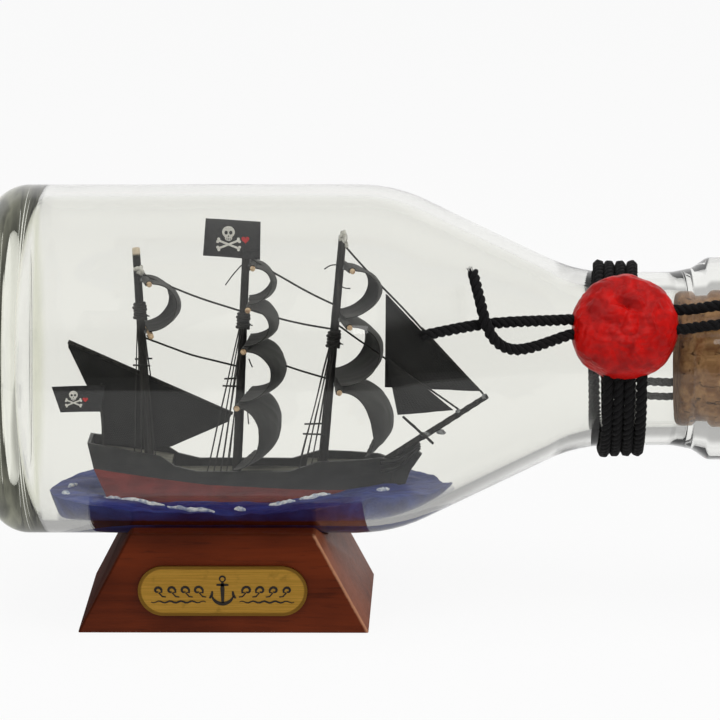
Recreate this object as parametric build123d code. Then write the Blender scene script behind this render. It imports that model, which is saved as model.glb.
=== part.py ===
from build123d import *
import os
from math import cos, hypot, pi, radians, sin, sqrt, tan

# Ship in a bottle, in millimetres. A glass bottle lies level on a wooden cradle stand, with a
# three-masted model ship in a putty sea inside it, and a cork held by a tied cord and a wax seal.
# The origin is the centre of the stand's underside, +X runs along the bottle to the cork, +Z is up,
# and -Y is the side with the name plate.

# Stand and name plate
stand_length = 63.0
stand_depth = 49.0
stand_height = 22.0
stand_end_lean = 0.53          # how far each end face leans in, for each unit of height
stand_edge = 0.6
cradle_floor_z = 17.1
cradle_gap = 0.2               # between the cradle and the glass
plate_length = 36.5
plate_height = 11.0
plate_thickness = 0.8
plate_z = 9.6

# Bottle, measured along its axis from the centre of the stand
body_radius = 38.0
body_wall = 2.5
neck_radius = 18.85
bore_radius = 15.0
base_x = -51.7
base_thickness = 6.2
base_push_up = 2.2
base_ring_radius = body_radius - 13.0
heel_fillet = 9.0
inner_heel_fillet = 7.0
shoulder_corner_x = 36.5       # where the lines of the body and the shoulder would meet
neck_corner_x = 76.6           # where the lines of the shoulder and the neck would meet
shoulder_fillet = 35.0
neck_fillet = 32.0
collar_x = 97.0                # where the neck starts to widen to the lip
collar_length = 4.2
collar_rise = 0.85
lip_radius = 22.0
lip_x = 104.5
lip_width = 9.0
mouth_x = 116.0

# Cork
cork_inner_x = 98.5
cork_stands_out = 8.0
cork_mouth_gap = 0.06
cork_taper = 0.035             # radius lost for each unit of depth in the neck
cork_edge = 1.2

# Neck cord and wax seal
cord_diameter = 2.4
cord_gap = 0.05
wrap_turns = 4
wraps_x = 85.7
strand_spacing = 4.4
seal_diameter = 22.4
seal_proud = 4.4               # how far the seal stands out past the wraps
seal_turn = 30.0               # degrees that the seal is turned up from straight forward
seal_x = 86.4
tie_turn = 37.5                # degrees that the two tying strands are turned up
strand_buried = 1.6            # length of each tying strand's start that is inside the wax
lip_stand_off = 5.15           # how far inside the lip's edge the strands turn over the cork

# Sea
sea_depth_share = 0.84         # depth of the sea's surface below the axis, over the inner radius
sea_start_x = -39.0
sea_end_x = 49.5
sea_width = 39.0
fit_gap = 0.05                 # between pieces that sit against each other

# Ship. It is drawn above the sea's surface, for the headroom below, and sized to keep that headroom.
drawn_height = 60.8
headroom = 4.52
bulwark = 0.7
deck_thickness = 0.4
hull_keel_z = -2.4
hull_depth_max = 14.0
spar_radius = 0.6
bowsprit_radius = 0.78
mast_foot_radius = 0.95
mast_head_radius = 0.7
cloth = 0.35
stay_radius = 0.16
shroud_radius = 0.13
flag_paper = 0.16
staff_radius = 0.25
yard_stand_off = 0.3

# Half-breadth of the ship's deck at each x, and the line of its rail as (x, z)
half_breadths = [(-30.3, 4.6), (-20.0, 5.7), (-5.0, 6.1), (10.0, 6.0), (22.0, 5.1), (30.0, 3.5),
                 (36.0, 0.9)]
rail_line = [(-30.3, 12.0), (-20.0, 10.2), (-14.2, 9.2), (-11.1, 7.1), (-6.4, 5.9), (14.0, 5.9),
             (20.0, 7.9), (33.5, 7.9), (36.0, 7.2)]
stern_line = [(-29.0, 6.2), (-26.7, 1.0), (-25.5, hull_keel_z)]
stem_line = [(33.0, hull_keel_z), (36.4, 1.0), (37.0, 5.0)]
paint_line = [(-32.0, 6.6), (-4.6, 2.9), (20.0, 1.5), (45.0, 0.6)]
beak_outline = [(36.2, 7.0), (39.6, 7.4), (41.9, 9.0), (42.7, 8.4), (40.2, 4.6), (38.4, -0.6), (36.2, -0.6)]
quarter_deck_z = (9.7, 7.0)    # at the stern and at its forward edge
quarter_deck_edge_x = -12.0
main_deck_z = 4.1
forecastle_edge_x = 17.4
forecastle_deck_z = 6.2
knee_width = 1.3

# Masts as foot (x, z) and head (x, z); each foot is stepped into the hull
mast_lines = {
    "mizzen": ((-17.0, 5.4), (-19.3, 54.3)),
    "main": ((1.95, 2.0), (4.55, 52.6)),
    "fore": ((20.65, 4.0), (25.6, 57.0)),
}
# Yards as height, half length and brace angle in degrees, + for the near end forward
yard_rows = {
    "mizzen": [(47.3, 6.0, 12.0), (35.9, 6.0, 8.0)],
    "main": [(50.6, 5.4, 2.0), (41.8, 6.8, -4.0), (32.9, 8.0, -8.0), (20.6, 9.2, -13.0)],
    "fore": [(50.0, 5.4, 14.0), (38.5, 9.4, 11.0), (24.2, 9.6, 4.0)],
}
# Square sails as mast, yard number, half width, foot height, foot's shift forward and belly depth
square_sails = {
    "mizzen_topsail": ("mizzen", 0, 5.6, 37.0, 0.6, 5.6),
    "main_royal": ("main", 0, 5.0, 42.8, 0.2, 4.6),
    "main_topgallant": ("main", 1, 6.4, 33.9, 0.4, 5.3),
    "main_topsail": ("main", 2, 7.6, 21.8, 0.8, 6.4),
    "main_course": ("main", 3, 8.8, 6.8, 1.6, 6.0),
    "fore_topgallant": ("fore", 0, 5.0, 39.8, 0.6, 5.6),
    "fore_topsail": ("fore", 1, 9.0, 25.6, 1.0, 5.8),
    "fore_course": ("fore", 2, 9.2, 9.8, 6.2, 4.4),
}
lateen_y = 1.75
lateen_yard_ends = ((-34.6, 33.2), (1.2, 17.0))
lateen_outline = [(-34.6, 31.9), (-31.0, 24.0), (-27.9, 17.9), (-27.4, 10.4), (-12.6, 9.4), (0.2, 15.2)]
bowsprit_line = ((31.5, 4.9), (56.6, 21.4))
spritsail_yard_ends = ((38.6, 6.4, 15.2), (44.8, -6.4, 12.4))
outer_jib_y = 0.75
outer_jib_corners = [(34.9, 44.0), (55.2, 22.2), (34.6, 23.2)]
inner_jib_y = -0.75
inner_jib_corners = [(34.9, 30.5), (49.2, 18.4), (37.4, 17.4)]

# Stays as the mast or point each end is made fast to, then heights
stay_lines = {
    "mizzen_stays": [("mizzen", 48.6, "main", 40.4), ("mizzen", 34.4, "main", 28.1)],
    "main_stays": [("main", 52.2, "fore", 41.9), ("main", 40.9, "fore", 36.4), ("main", 32.0, "fore", 25.4)],
    "head_stays": [("fore", 54.6, (55.6, 21.9)), ("fore", 37.2, (50.4, 18.3))],
}
# Shrouds as the mast, the height of their lashing, the spread of their feet, and the spreader's height
shroud_rows = {
    "mizzen": (40.2, (-20.0, -18.4, -16.8, -15.2), 29.0),
    "main": (38.1, (-4.4, -2.9, -1.4, 0.0), 24.5),
    "fore": (33.9, (15.6, 17.0, 18.4, 19.8), 14.0),
}
lashing_height = 1.4
lashing_wall = 0.4
lashing_gap = 0.04

masthead_flag_corners = [(-4.0, 60.8), (7.9, 60.1), (7.7, 51.9), (-4.7, 52.8)]
masthead_flag_y = -1.3
stern_flag_corners = [(-38.1, 23.8), (-26.4, 24.1), (-27.6, 18.2), (-36.3, 18.0)]
stern_flag_y = -1.3
stern_staff_x = -27.2
stern_staff_top_z = 24.4
masthead_staff_top_z = 59.6
shroud_spacing = 2.2           # between shrouds at a masthead, in radii of a shroud
shroud_stand_off = 0.4         # between a mast's side and its shrouds
spreader_overhang = 0.9

# Free tails of the cord, from 3 mm inside the seal out, as points along the middle of each. They are
# (x, y, z above the bottle's axis), drawn for a cord and a neck of these sizes.
drawn_cord = 2.4
drawn_neck = 18.85
long_tail_route = [(78.4, -16.5, 12.3), (74.4, -17.9, 12.4), (69.4, -20.4, 12.7), (62.6, -23.8, 13.2),
                   (56.2, -27.1, 13.4), (49.4, -31.1, 13.1), (43.4, -34.3, 12.4)]
curled_tail_route = [(78.4, -18.0, 10.0), (74.6, -19.5, 9.5), (70.7, -21.8, 8.6), (66.0, -24.8, 7.6),
                     (61.6, -27.4, 7.7), (58.1, -29.6, 10.5), (56.3, -29.9, 15.0), (55.2, -28.1, 19.7),
                     (53.9, -23.6, 23.9)]

# Worked out from the values above
axis_z = cradle_floor_z + cradle_gap + body_radius
inner_radius = body_radius - body_wall
shoulder_slope = (body_radius - neck_radius) / (neck_corner_x - shoulder_corner_x)
inner_base_x = base_x + base_thickness
inner_shoulder_x = shoulder_corner_x - body_wall * shoulder_slope / 2
inner_neck_x = inner_shoulder_x + (inner_radius - bore_radius) / shoulder_slope * 0.99
sea_level = axis_z - sea_depth_share * inner_radius
ship_scale = (axis_z + inner_radius - headroom - sea_level) / drawn_height
outside_fillets = [6.0, heel_fillet, shoulder_fillet, neck_fillet, 8.0, 2.4, 2.4, 2.0]
mouth_fillets = [1.4, 1.2]
wrap_pitch = cord_diameter + cord_gap
wrap_radius = neck_radius + cord_gap + cord_diameter / 2
wraps_width = wrap_turns * wrap_pitch
wraps_outer = neck_radius + cord_gap + cord_diameter

os.makedirs("parts", exist_ok=True)
LOW = (Align.CENTER, Align.CENTER, Align.MIN)
report = []


def save(name, *solids):
    """Write one node, as one solid or as a group of separate ones."""
    shape = solids[0] if len(solids) == 1 else Compound(children=list(solids))
    export_step(shape, f"parts/{name}.step")


def rod(start, end, radius, end_radius=None):
    """A round bar from one point to another, tapered if it has an end radius."""
    start, end = Vector(*start), Vector(*end)
    along = end - start
    if end_radius is None:
        bar = Cylinder(radius, along.length, align=LOW)
    else:
        bar = Cone(radius, end_radius, along.length, align=LOW)
    return Plane(origin=start, z_dir=along).location * bar


def side_plate(outline, thickness, y=0.0):
    """A flat plate with an outline drawn in the ship's side view."""
    points = [(x, z) for x, z in outline]
    face = make_face(Polyline(*points, close=True).edges())
    plate = extrude(Plane.XZ * face, amount=thickness / 2, both=True)
    return Pos(0, y, 0) * plate


def smooth_cord(route, diameter):
    """A round tube along straight runs joined by arcs, each as large as its runs allow."""
    points = [Vector(*point) for point in route]
    radii = []
    for before, corner, after in zip(points, points[1:], points[2:]):
        half_turn = radians((corner - before).get_angle(after - corner)) / 2
        shorter = min((corner - before).length, (after - corner).length)
        radii.append(0.45 * shorter / tan(half_turn))
    path = FilletPolyline(*points, radius=radii)
    return sweep_round(path, diameter), path.length, radii


def laid_tail(route, side):
    """A tail's points, moved out and apart from the other tail to suit the cord's and the neck's sizes."""
    spare = 0.6 * (cord_diameter - drawn_cord)
    out = neck_radius - drawn_neck + spare
    turn = side * spare / drawn_neck
    points = []
    for x, y, z in route:
        share = 1 + out / hypot(y, z)
        y, z = y * share, z * share
        points.append((x, y * cos(turn) + z * sin(turn), axis_z + z * cos(turn) - y * sin(turn)))
    return points


def sweep_round(path, diameter):
    """A round section swept along a path."""
    section = Plane(origin=path @ 0, z_dir=path % 0) * Circle(diameter / 2)
    return sweep(section, path=path)


def on_bottle(shape):
    """Turn a solid of revolution drawn about the X axis onto the bottle's axis."""
    return Pos(0, 0, axis_z) * shape


def drum(x_start, x_end, radius):
    """A cylinder on the bottle's axis between two places along it."""
    bar = Cylinder(radius, x_end - x_start, align=LOW)
    return Pos(x_start, 0, axis_z) * Rot(0, 90, 0) * bar


# ---------------------------------------------------------------- stand
def make_stand():
    lean = stand_end_lean * stand_height
    foot, top = stand_length / 2, stand_length / 2 - lean
    outline = [(-foot, 0), (foot, 0), (top, stand_height), (-top, stand_height)]
    block = side_plate(outline, stand_depth)
    block = chamfer(block.faces().sort_by(Axis.Z)[0].edges(), stand_edge)
    cradle = drum(-stand_length, stand_length, body_radius + cradle_gap)
    return block - cradle


def make_plate():
    shape = SlotOverall(plate_length, plate_height)
    plate = extrude(Plane.XZ * shape, amount=plate_thickness)
    plate = fillet(plate.faces().sort_by(Axis.Y)[0].edges(), plate_thickness * 0.3)
    return Pos(0, -stand_depth / 2, plate_z) * plate


# ---------------------------------------------------------------- bottle and what closes it
def cavity_points(gap, end_x):
    """The inner wall's corners, from the axis at the base to the mouth, moved in by a gap."""
    return [
        (inner_base_x + gap, 0),
        (inner_base_x + gap, inner_radius - gap),
        (inner_shoulder_x, inner_radius - gap),
        (inner_neck_x, bore_radius - gap),
        (end_x, bore_radius - gap),
    ]


def outside_points(gap):
    """The outer wall's corners, from the base to the mouth, moved out by a gap."""
    return [
        (base_x + base_push_up, 0),
        (base_x, base_ring_radius),
        (base_x, body_radius + gap),
        (shoulder_corner_x, body_radius + gap),
        (neck_corner_x, neck_radius + gap),
        (collar_x, neck_radius + gap),
        (collar_x + collar_length, neck_radius + collar_rise + gap),
        (lip_x, lip_radius + gap),
        (lip_x + lip_width, lip_radius + gap),
        (mouth_x, lip_radius - 2.0 + gap),
    ]


def make_outside(gap):
    """The bottle's outer shape as a full solid, for cutting what lies against the glass."""
    points = outside_points(gap)
    wall = FilletPolyline(*points, radius=outside_fillets)
    closing = Polyline(points[-1], (mouth_x, 0), points[0])
    return on_bottle(revolve(make_face([*wall.edges(), *closing.edges()]), Axis.X))


def make_bottle():
    outside, inside = outside_points(0), cavity_points(0, mouth_x)[::-1]
    inner_fillets = [neck_fillet, shoulder_fillet - body_wall, inner_heel_fillet]
    wall = FilletPolyline(*outside, *inside, radius=[*outside_fillets, *mouth_fillets, *inner_fillets])
    face = make_face([*wall.edges(), *Line(inside[-1], outside[0]).edges()])
    return on_bottle(revolve(face, Axis.X))


def make_cavity(gap):
    """The space inside the glass, less a gap, for cutting what lies against the wall."""
    points = cavity_points(gap, cork_inner_x)
    wall = FilletPolyline(*points, radius=[inner_heel_fillet, shoulder_fillet - body_wall, neck_fillet])
    closing = Polyline(points[-1], (cork_inner_x, 0), points[0])
    face = make_face([*wall.edges(), *closing.edges()])
    return on_bottle(revolve(face, Axis.X))


def make_cork():
    length = mouth_x + cork_stands_out - cork_inner_x
    mouth_radius = bore_radius - cork_mouth_gap
    inner = mouth_radius - cork_taper * (mouth_x - cork_inner_x)
    outer = mouth_radius + cork_taper * cork_stands_out
    cork = Cone(inner, outer, length, align=LOW)
    cork = chamfer(cork.edges().filter_by(GeomType.CIRCLE), cork_edge)
    return Pos(cork_inner_x, 0, axis_z) * Rot(0, 90, 0) * cork


def make_wraps():
    """The turns of cord round the neck, each a ring leaning by half a turn's pitch."""
    turn_lean = wrap_pitch / (4 * wrap_radius) * 180 / pi
    rings = []
    for turn in range(wrap_turns):
        x = wraps_x + (turn - (wrap_turns - 1) / 2) * wrap_pitch
        ring = Torus(wrap_radius + wrap_lift(x), cord_diameter / 2)
        rings.append(Pos(x, 0, axis_z) * Rot(0, 90 + turn_lean, 0) * ring)
    return rings


def wrap_lift(x):
    """How much wider the neck still is at a place near the shoulder, where its fillet ends."""
    half_turn = tan(radians(Vector(1, 0, 0).get_angle(Vector(1, -shoulder_slope, 0))) / 2)
    fillet_end = neck_corner_x + neck_fillet * half_turn
    inside = max(0.0, fillet_end - x + cord_diameter / 2)
    return neck_fillet - sqrt(neck_fillet ** 2 - inside ** 2)


def tie_point(x, reach, side):
    """A point of a tying strand, by its place along the bottle and its reach from the axis."""
    turn = radians(tie_turn)
    y = -reach * cos(turn) + side * sin(turn)
    z = reach * sin(turn) + side * cos(turn)
    return (x, y, axis_z + z)


def make_tie():
    """Two strands from the seal over the lip and the cork, and back to the wraps behind."""
    half = cord_diameter / 2 + cord_gap
    seal_edge = seal_x + seal_diameter / 2 - strand_buried
    near_neck = neck_radius + collar_rise + half + 0.3
    over_lip = lip_radius + half + 0.3
    cork_top = mouth_x + cork_stands_out + half
    cork_side = max(bore_radius + half + 0.6, lip_radius - lip_stand_off)
    strands = []
    for side in (-strand_spacing / 2, strand_spacing / 2):
        stops = [
            (seal_edge, near_neck),
            (collar_x + 4.5, near_neck + 0.2),
            (lip_x + 0.6, over_lip),
            (lip_x + lip_width - 0.6, over_lip),
            (cork_top, cork_side),
            (cork_top, -cork_side),
            (lip_x + lip_width - 0.6, -over_lip),
            (lip_x + 0.6, -over_lip),
            (collar_x + 4.5, -near_neck - 0.2),
            (wraps_x + wraps_width / 2 + 2.2, -near_neck),
        ]
        points = [tie_point(x, reach, side) for x, reach in stops]
        path = FilletPolyline(*points, radius=[3.0, 3.0, 4.0, 2.6, 2.6, 4.0, 3.0, 3.0])
        strands.append(sweep_round(path, cord_diameter))
        report.append(f"tie strand {path.length:.1f} mm")
    return strands


def make_seal():
    """A domed disc of wax over the knot, shaped to the wraps and the neck behind it."""
    back = neck_radius * 0.8
    front = wraps_outer + seal_proud
    disc = Cylinder(seal_diameter / 2, front - back, align=LOW)
    disc = fillet(disc.faces().sort_by(Axis.Z)[-1].edges(), seal_proud * 0.86)
    turned = Pos(seal_x, 0, axis_z) * Rot(90 - seal_turn, 0, 0) * Pos(0, 0, back) * disc
    first_turn_x = wraps_x - (wrap_turns - 1) / 2 * wrap_pitch
    reach = wraps_outer + wrap_lift(first_turn_x) + 0.01
    band = drum(wraps_x - wraps_width / 2 - wrap_pitch / 2, wraps_x + wraps_width / 2 + wrap_pitch / 2, reach)
    return turned - make_outside(cord_gap) - band


# ---------------------------------------------------------------- ship, above the sea's surface
def on_ship(shape):
    """Size a piece of the ship to the bottle and set it on the sea."""
    if abs(ship_scale - 1) < 1e-6:
        return Pos(0, 0, sea_level) * shape
    place = shape.location
    sized = shape.scale(ship_scale).located(Location(place.position * ship_scale, place.orientation))
    return Pos(0, 0, sea_level) * sized


def mast_x(mast, z):
    (foot_x, foot_z), (head_x, head_z) = mast_lines[mast]
    return foot_x + (head_x - foot_x) * (z - foot_z) / (head_z - foot_z)


def mast_radius(mast, z):
    foot_z, head_z = mast_lines[mast][0][1], mast_lines[mast][1][1]
    return mast_foot_radius + (mast_head_radius - mast_foot_radius) * (z - foot_z) / (head_z - foot_z)


def yard_x(mast, z):
    return mast_x(mast, z) + mast_radius(mast, z) + spar_radius + yard_stand_off


def make_mast(mast):
    (foot_x, foot_z), (head_x, head_z) = mast_lines[mast]
    return rod((foot_x, 0, foot_z), (head_x, 0, head_z), mast_foot_radius, mast_head_radius)


def mast_hole(mast):
    """The step for a mast's foot, with a fit gap round it."""
    (foot_x, foot_z), (head_x, head_z) = mast_lines[mast]
    return rod((foot_x, 0, foot_z), (head_x, 0, head_z), mast_foot_radius + fit_gap, mast_foot_radius)


def make_bowsprit(radius):
    """The bowsprit, or the hole for it, by its radius."""
    (heel_x, heel_z), (end_x, end_z) = bowsprit_line
    return rod((heel_x, 0, heel_z), (end_x, 0, end_z), radius)


def half_plan(inset):
    """The ship's outline from above as a flat face, moved in by an inset."""
    port = [(x, half - inset) for x, half in half_breadths]
    stern, bow = half_breadths[0][0] + inset, half_breadths[-1][0] - 2 * inset
    port[0] = (stern, port[0][1])
    port[-1] = (bow, max(0.3, half_breadths[-1][1] - inset))
    left = Spline(*port)
    right = Spline(*[(x, -half) for x, half in port])
    ends = [Line(port[0], (port[0][0], -port[0][1])), Line(port[-1], (port[-1][0], -port[-1][1]))]
    return make_face([left.edge(), right.edge(), *[end.edge() for end in ends]])


def prism(face, low, high):
    return Pos(0, 0, low) * extrude(face, amount=high - low)


def beam_max():
    return 2 * max(half for _, half in half_breadths)


def make_hull():
    """The whole hull with its well for the decks cut out, in two painted parts."""
    side = side_plate(rail_line + stem_line[::-1] + stern_line[::-1], beam_max() + 2)
    block = prism(half_plan(0), hull_keel_z, hull_depth_max) & side
    stern, bow = half_breadths[0][0], half_breadths[-1][0]
    floor = [
        (stern, quarter_deck_z[0] - deck_thickness),
        (quarter_deck_edge_x, quarter_deck_z[1] - deck_thickness),
        (quarter_deck_edge_x, main_deck_z - deck_thickness),
        (forecastle_edge_x, main_deck_z - deck_thickness),
        (forecastle_edge_x, forecastle_deck_z - deck_thickness),
        (bow, forecastle_deck_z - deck_thickness),
        (bow, hull_depth_max),
        (stern, hull_depth_max),
    ]
    well = prism(half_plan(bulwark), 0, hull_depth_max) & side_plate(floor, beam_max())
    hull = block - well
    for mast in mast_lines:
        hull -= mast_hole(mast)
    hull -= make_bowsprit(bowsprit_radius + fit_gap)
    under = side_plate(paint_line + [(45.0, hull_keel_z - 1), (-32.0, hull_keel_z - 1)], beam_max() + 2)
    return hull - under, hull & under


def make_deck(corners):
    """A deck plank, under an outline of its upper face in the side view."""
    (x0, z0), (x1, z1) = corners
    outline = [(x0, z0 - deck_thickness), (x1, z1 - deck_thickness), (x1, z1), (x0, z0)]
    deck = prism(half_plan(bulwark + 0.02), 0, hull_depth_max) & side_plate(outline, beam_max())
    for mast in mast_lines:
        deck -= mast_hole(mast)
    return deck


def make_beak(hull):
    knee = side_plate(beak_outline, knee_width)
    return knee - hull - make_bowsprit(bowsprit_radius + fit_gap)


def make_yard(mast, row):
    z, half, brace = row
    bar = rod((0, -half, 0), (0, half, 0), spar_radius)
    return Pos(yard_x(mast, z), 0, z) * Rot(0, 0, brace) * bar


def make_square_sail(mast, number, half, foot_z, shift, belly):
    """A sail bent to its yard, curved forward from head to foot, with its threads' holes."""
    z, _, brace = yard_rows[mast][number]
    drop = z - spar_radius - fit_gap - foot_z
    head, foot = Vector(0, 0), Vector(shift, -drop)
    chord = foot - head
    ahead = Vector(drop, shift).normalized()
    bend = (chord.length ** 2 / 4 + belly ** 2) / (2 * belly)
    middle = (head + foot) * 0.5 + ahead * belly
    centre = middle - ahead * bend

    def inside(point):
        return centre + (point - centre) * ((bend - cloth) / bend)

    front = ThreePointArc(head, middle, foot)
    back = ThreePointArc(inside(head), inside(middle), inside(foot))
    ends = [Line(head, inside(head)), Line(foot, inside(foot))]
    face = make_face([front.edge(), back.edge(), *[end.edge() for end in ends]])
    sail = extrude(Plane.XZ * face, amount=half, both=True)
    return Pos(yard_x(mast, z), 0, foot_z + drop) * Rot(0, 0, brace) * sail


def stay_ends(line):
    """Both ends of a stay, clear of its masts."""
    start = (mast_x(line[0], line[1]) + mast_radius(line[0], line[1]) + lashing_gap, 0, line[1])
    if isinstance(line[2], str):
        return start, (mast_x(line[2], line[3]) - mast_radius(line[2], line[3]) - 0.1, 0, line[3])
    return start, (line[2][0], 0, line[2][1])


def make_shrouds(mast):
    """The standing lines on both sides of a mast, down to the rail."""
    top, feet, _ = shroud_rows[mast]
    lines = []
    for side in (-1, 1):
        for number, foot_x in enumerate(feet):
            spread = (number - (len(feet) - 1) / 2) * shroud_spacing * shroud_radius
            start = (mast_x(mast, top) + spread, side * (mast_radius(mast, top) + shroud_stand_off), top)
            foot = (foot_x, side * rail_y(foot_x), rail_z(foot_x) + fit_gap)
            lines.append(rod(start, foot, shroud_radius))
    return lines


def along(table, x):
    """The value at x on a line given by a few points."""
    for (x0, v0), (x1, v1) in zip(table, table[1:]):
        if x0 <= x <= x1:
            return v0 + (v1 - v0) * (x - x0) / (x1 - x0)
    return table[-1][1]


def rail_y(x):
    return along(half_breadths, x) - bulwark / 2


def rail_z(x):
    return along(rail_line, x) + shroud_radius


def make_spreaders():
    """A short bar across each side's shrouds."""
    bars = []
    for mast, (top, feet, z) in shroud_rows.items():
        share = (top - z) / (top - rail_z(feet[0]))
        for side in (-1, 1):
            start_y = mast_radius(mast, top) + shroud_stand_off
            y = start_y + (rail_y(feet[0]) - start_y) * share + 3.2 * shroud_radius
            aft = mast_x(mast, top) + (feet[0] - mast_x(mast, top)) * share - spreader_overhang
            fore = mast_x(mast, top) + (feet[-1] - mast_x(mast, top)) * share + spreader_overhang
            bars.append(rod((aft, side * y, z), (fore, side * y, z), 1.4 * shroud_radius))
    return bars


def make_lashings():
    """A band of thread round each mast where its shrouds are made fast."""
    bands = []
    for mast, (top, _, _) in shroud_rows.items():
        (foot_x, foot_z), (head_x, head_z) = mast_lines[mast]
        tilt = Vector(head_x - foot_x, 0, head_z - foot_z)
        low = top + 0.4
        inner = mast_radius(mast, low) + lashing_gap
        band = Cylinder(inner + lashing_wall, lashing_height, align=LOW)
        band -= Cylinder(inner, lashing_height, align=LOW)
        bands.append(Plane(origin=(mast_x(mast, low), 0, low), z_dir=tilt).location * band)
    return bands


# ---------------------------------------------------------------- the whole object
def build():
    save("stand_block", make_stand())
    save("name_plate", make_plate())
    save("glass_bottle", make_bottle())
    save("cork_stopper", make_cork())
    save("neck_cord_wraps", *make_wraps())
    save("cork_tie_cord", *make_tie())
    save("wax_seal", make_seal())
    tails = {"cord_tail_long": (long_tail_route, 1), "cord_tail_curled": (curled_tail_route, -1)}
    for name, (route, side) in tails.items():
        tail, length, radii = smooth_cord(laid_tail(route, side), cord_diameter)
        save(name, tail)
        section = pi * (cord_diameter / 2) ** 2
        report.append(f"{name}: {length:.1f} mm long, volume {tail.volume:.1f}"
                      f" of {section * length:.1f}, radii "
                      + " ".join(f"{radius:.1f}" for radius in radii))

    topsides, bottom = make_hull()
    beak = make_beak(topsides + bottom)
    save("hull_topsides", on_ship(topsides))
    save("hull_bottom", on_ship(bottom))
    save("beakhead", on_ship(beak))
    aft_x, bow_x = half_breadths[0][0], half_breadths[-1][0]
    waist_x = (quarter_deck_edge_x + fit_gap, forecastle_edge_x - fit_gap)
    decks = {
        "quarter_deck": ((aft_x, quarter_deck_z[0]), (quarter_deck_edge_x, quarter_deck_z[1])),
        "main_deck": ((waist_x[0], main_deck_z), (waist_x[1], main_deck_z)),
        "forecastle_deck": ((forecastle_edge_x, forecastle_deck_z), (bow_x, forecastle_deck_z)),
    }
    for name, corners in decks.items():
        save(name, on_ship(make_deck(corners) - make_bowsprit(bowsprit_radius + fit_gap)))

    outline = Pos((sea_start_x + sea_end_x) / 2, 0, 0) * SlotOverall(sea_end_x - sea_start_x, sea_width)
    low = axis_z - body_radius
    sea = prism(outline, low, sea_level) & make_cavity(fit_gap)
    sunk = prism(half_plan(-fit_gap), hull_keel_z, 1) & side_plate(
        [(x - fit_gap, z) for x, z in stern_line] + [(x + fit_gap, z) for x, z in stem_line]
        + [(37.0, 9.0), (-29.0, 9.0)], beam_max() + 2)
    sea -= on_ship(sunk)
    sea -= on_ship(side_plate(beak_outline, knee_width + 2 * fit_gap))
    save("putty_sea", sea)

    holes = [rod(*stay_ends(line), stay_radius + fit_gap) for lines in stay_lines.values() for line in lines]
    for mast in mast_lines:
        save(f"{mast}_mast", on_ship(make_mast(mast)))
        save(f"{mast}_yards", *[on_ship(make_yard(mast, row)) for row in yard_rows[mast]])
        save(f"{mast}_shrouds", *[on_ship(line) for line in make_shrouds(mast)])
    for name, sail in square_sails.items():
        cloth_sheet = make_square_sail(*sail)
        for hole in holes:
            cloth_sheet -= hole
        save(name, on_ship(cloth_sheet))
    save("shroud_spreaders", *[on_ship(bar) for bar in make_spreaders()])
    save("mast_lashings", *[on_ship(band) for band in make_lashings()])
    for name, lines in stay_lines.items():
        save(name, *[on_ship(rod(*stay_ends(line), stay_radius)) for line in lines])

    save("bowsprit", on_ship(make_bowsprit(bowsprit_radius)))
    save("spritsail_yard", on_ship(rod(*spritsail_yard_ends, spar_radius * 0.5)))
    (x0, z0), (x1, z1) = lateen_yard_ends
    save("lateen_yard", on_ship(rod((x0, lateen_y, z0), (x1, lateen_y, z1), spar_radius * 0.8)))
    head = [(x1 - 0.5, z1 - spar_radius), (x0, z0 - spar_radius)]
    save("lateen_sail", on_ship(side_plate(head + lateen_outline, cloth, lateen_y)))
    save("outer_jib", on_ship(side_plate(outer_jib_corners, cloth, outer_jib_y)))
    save("inner_jib", on_ship(side_plate(inner_jib_corners, cloth, inner_jib_y)))

    head_x, head_z = mast_lines["main"][1]
    save("masthead_flag", on_ship(side_plate(masthead_flag_corners, flag_paper, masthead_flag_y)))
    staff_top = (head_x + 0.4, 0, masthead_staff_top_z)
    save("masthead_flag_staff", on_ship(rod((head_x, 0, head_z), staff_top, staff_radius)))
    save("stern_flag", on_ship(side_plate(stern_flag_corners, flag_paper, stern_flag_y)))
    staff_y = stern_flag_y + flag_paper / 2 + staff_radius + fit_gap
    foot = (stern_staff_x, staff_y, quarter_deck_z[0] - deck_thickness)
    save("stern_flag_staff", on_ship(rod(foot, (stern_staff_x, staff_y, stern_staff_top_z), staff_radius)))


build()
for line in report:
    print(line)
print(f"axis {axis_z:.2f}, sea {sea_level:.2f}, ship scale {ship_scale:.4f}")
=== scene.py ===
from math import atan2, cos, exp, hypot, pi, radians, sin, sqrt, tan

import bmesh
import bpy
import numpy as np
from mathutils import Matrix, Vector, noise


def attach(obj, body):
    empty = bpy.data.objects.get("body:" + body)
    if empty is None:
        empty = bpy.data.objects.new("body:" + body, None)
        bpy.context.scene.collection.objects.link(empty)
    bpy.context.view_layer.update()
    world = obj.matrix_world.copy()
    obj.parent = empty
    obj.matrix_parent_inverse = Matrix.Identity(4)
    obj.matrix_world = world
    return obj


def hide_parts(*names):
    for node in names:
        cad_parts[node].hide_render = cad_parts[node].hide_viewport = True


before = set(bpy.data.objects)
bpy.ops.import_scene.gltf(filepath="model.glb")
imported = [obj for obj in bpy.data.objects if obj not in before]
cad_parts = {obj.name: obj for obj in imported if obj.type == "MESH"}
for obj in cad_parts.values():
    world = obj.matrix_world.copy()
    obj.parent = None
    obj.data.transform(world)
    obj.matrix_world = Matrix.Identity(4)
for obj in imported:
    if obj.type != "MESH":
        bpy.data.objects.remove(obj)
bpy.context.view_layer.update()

# Ship in a bottle. Everything is in metres, in the model's own frame: +X runs to the cork, +Z is
# up, and -Y is the side with the name plate.
MM = 0.001

# ---------------------------------------------------------------- camera
VIEW_PLACE = Vector((0.0592, -1.053, 0.2863))
VIEW_AIM = Vector((-0.02785, 0.9763, -0.2145)).normalized()
VIEW_LENS = 247.5


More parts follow.
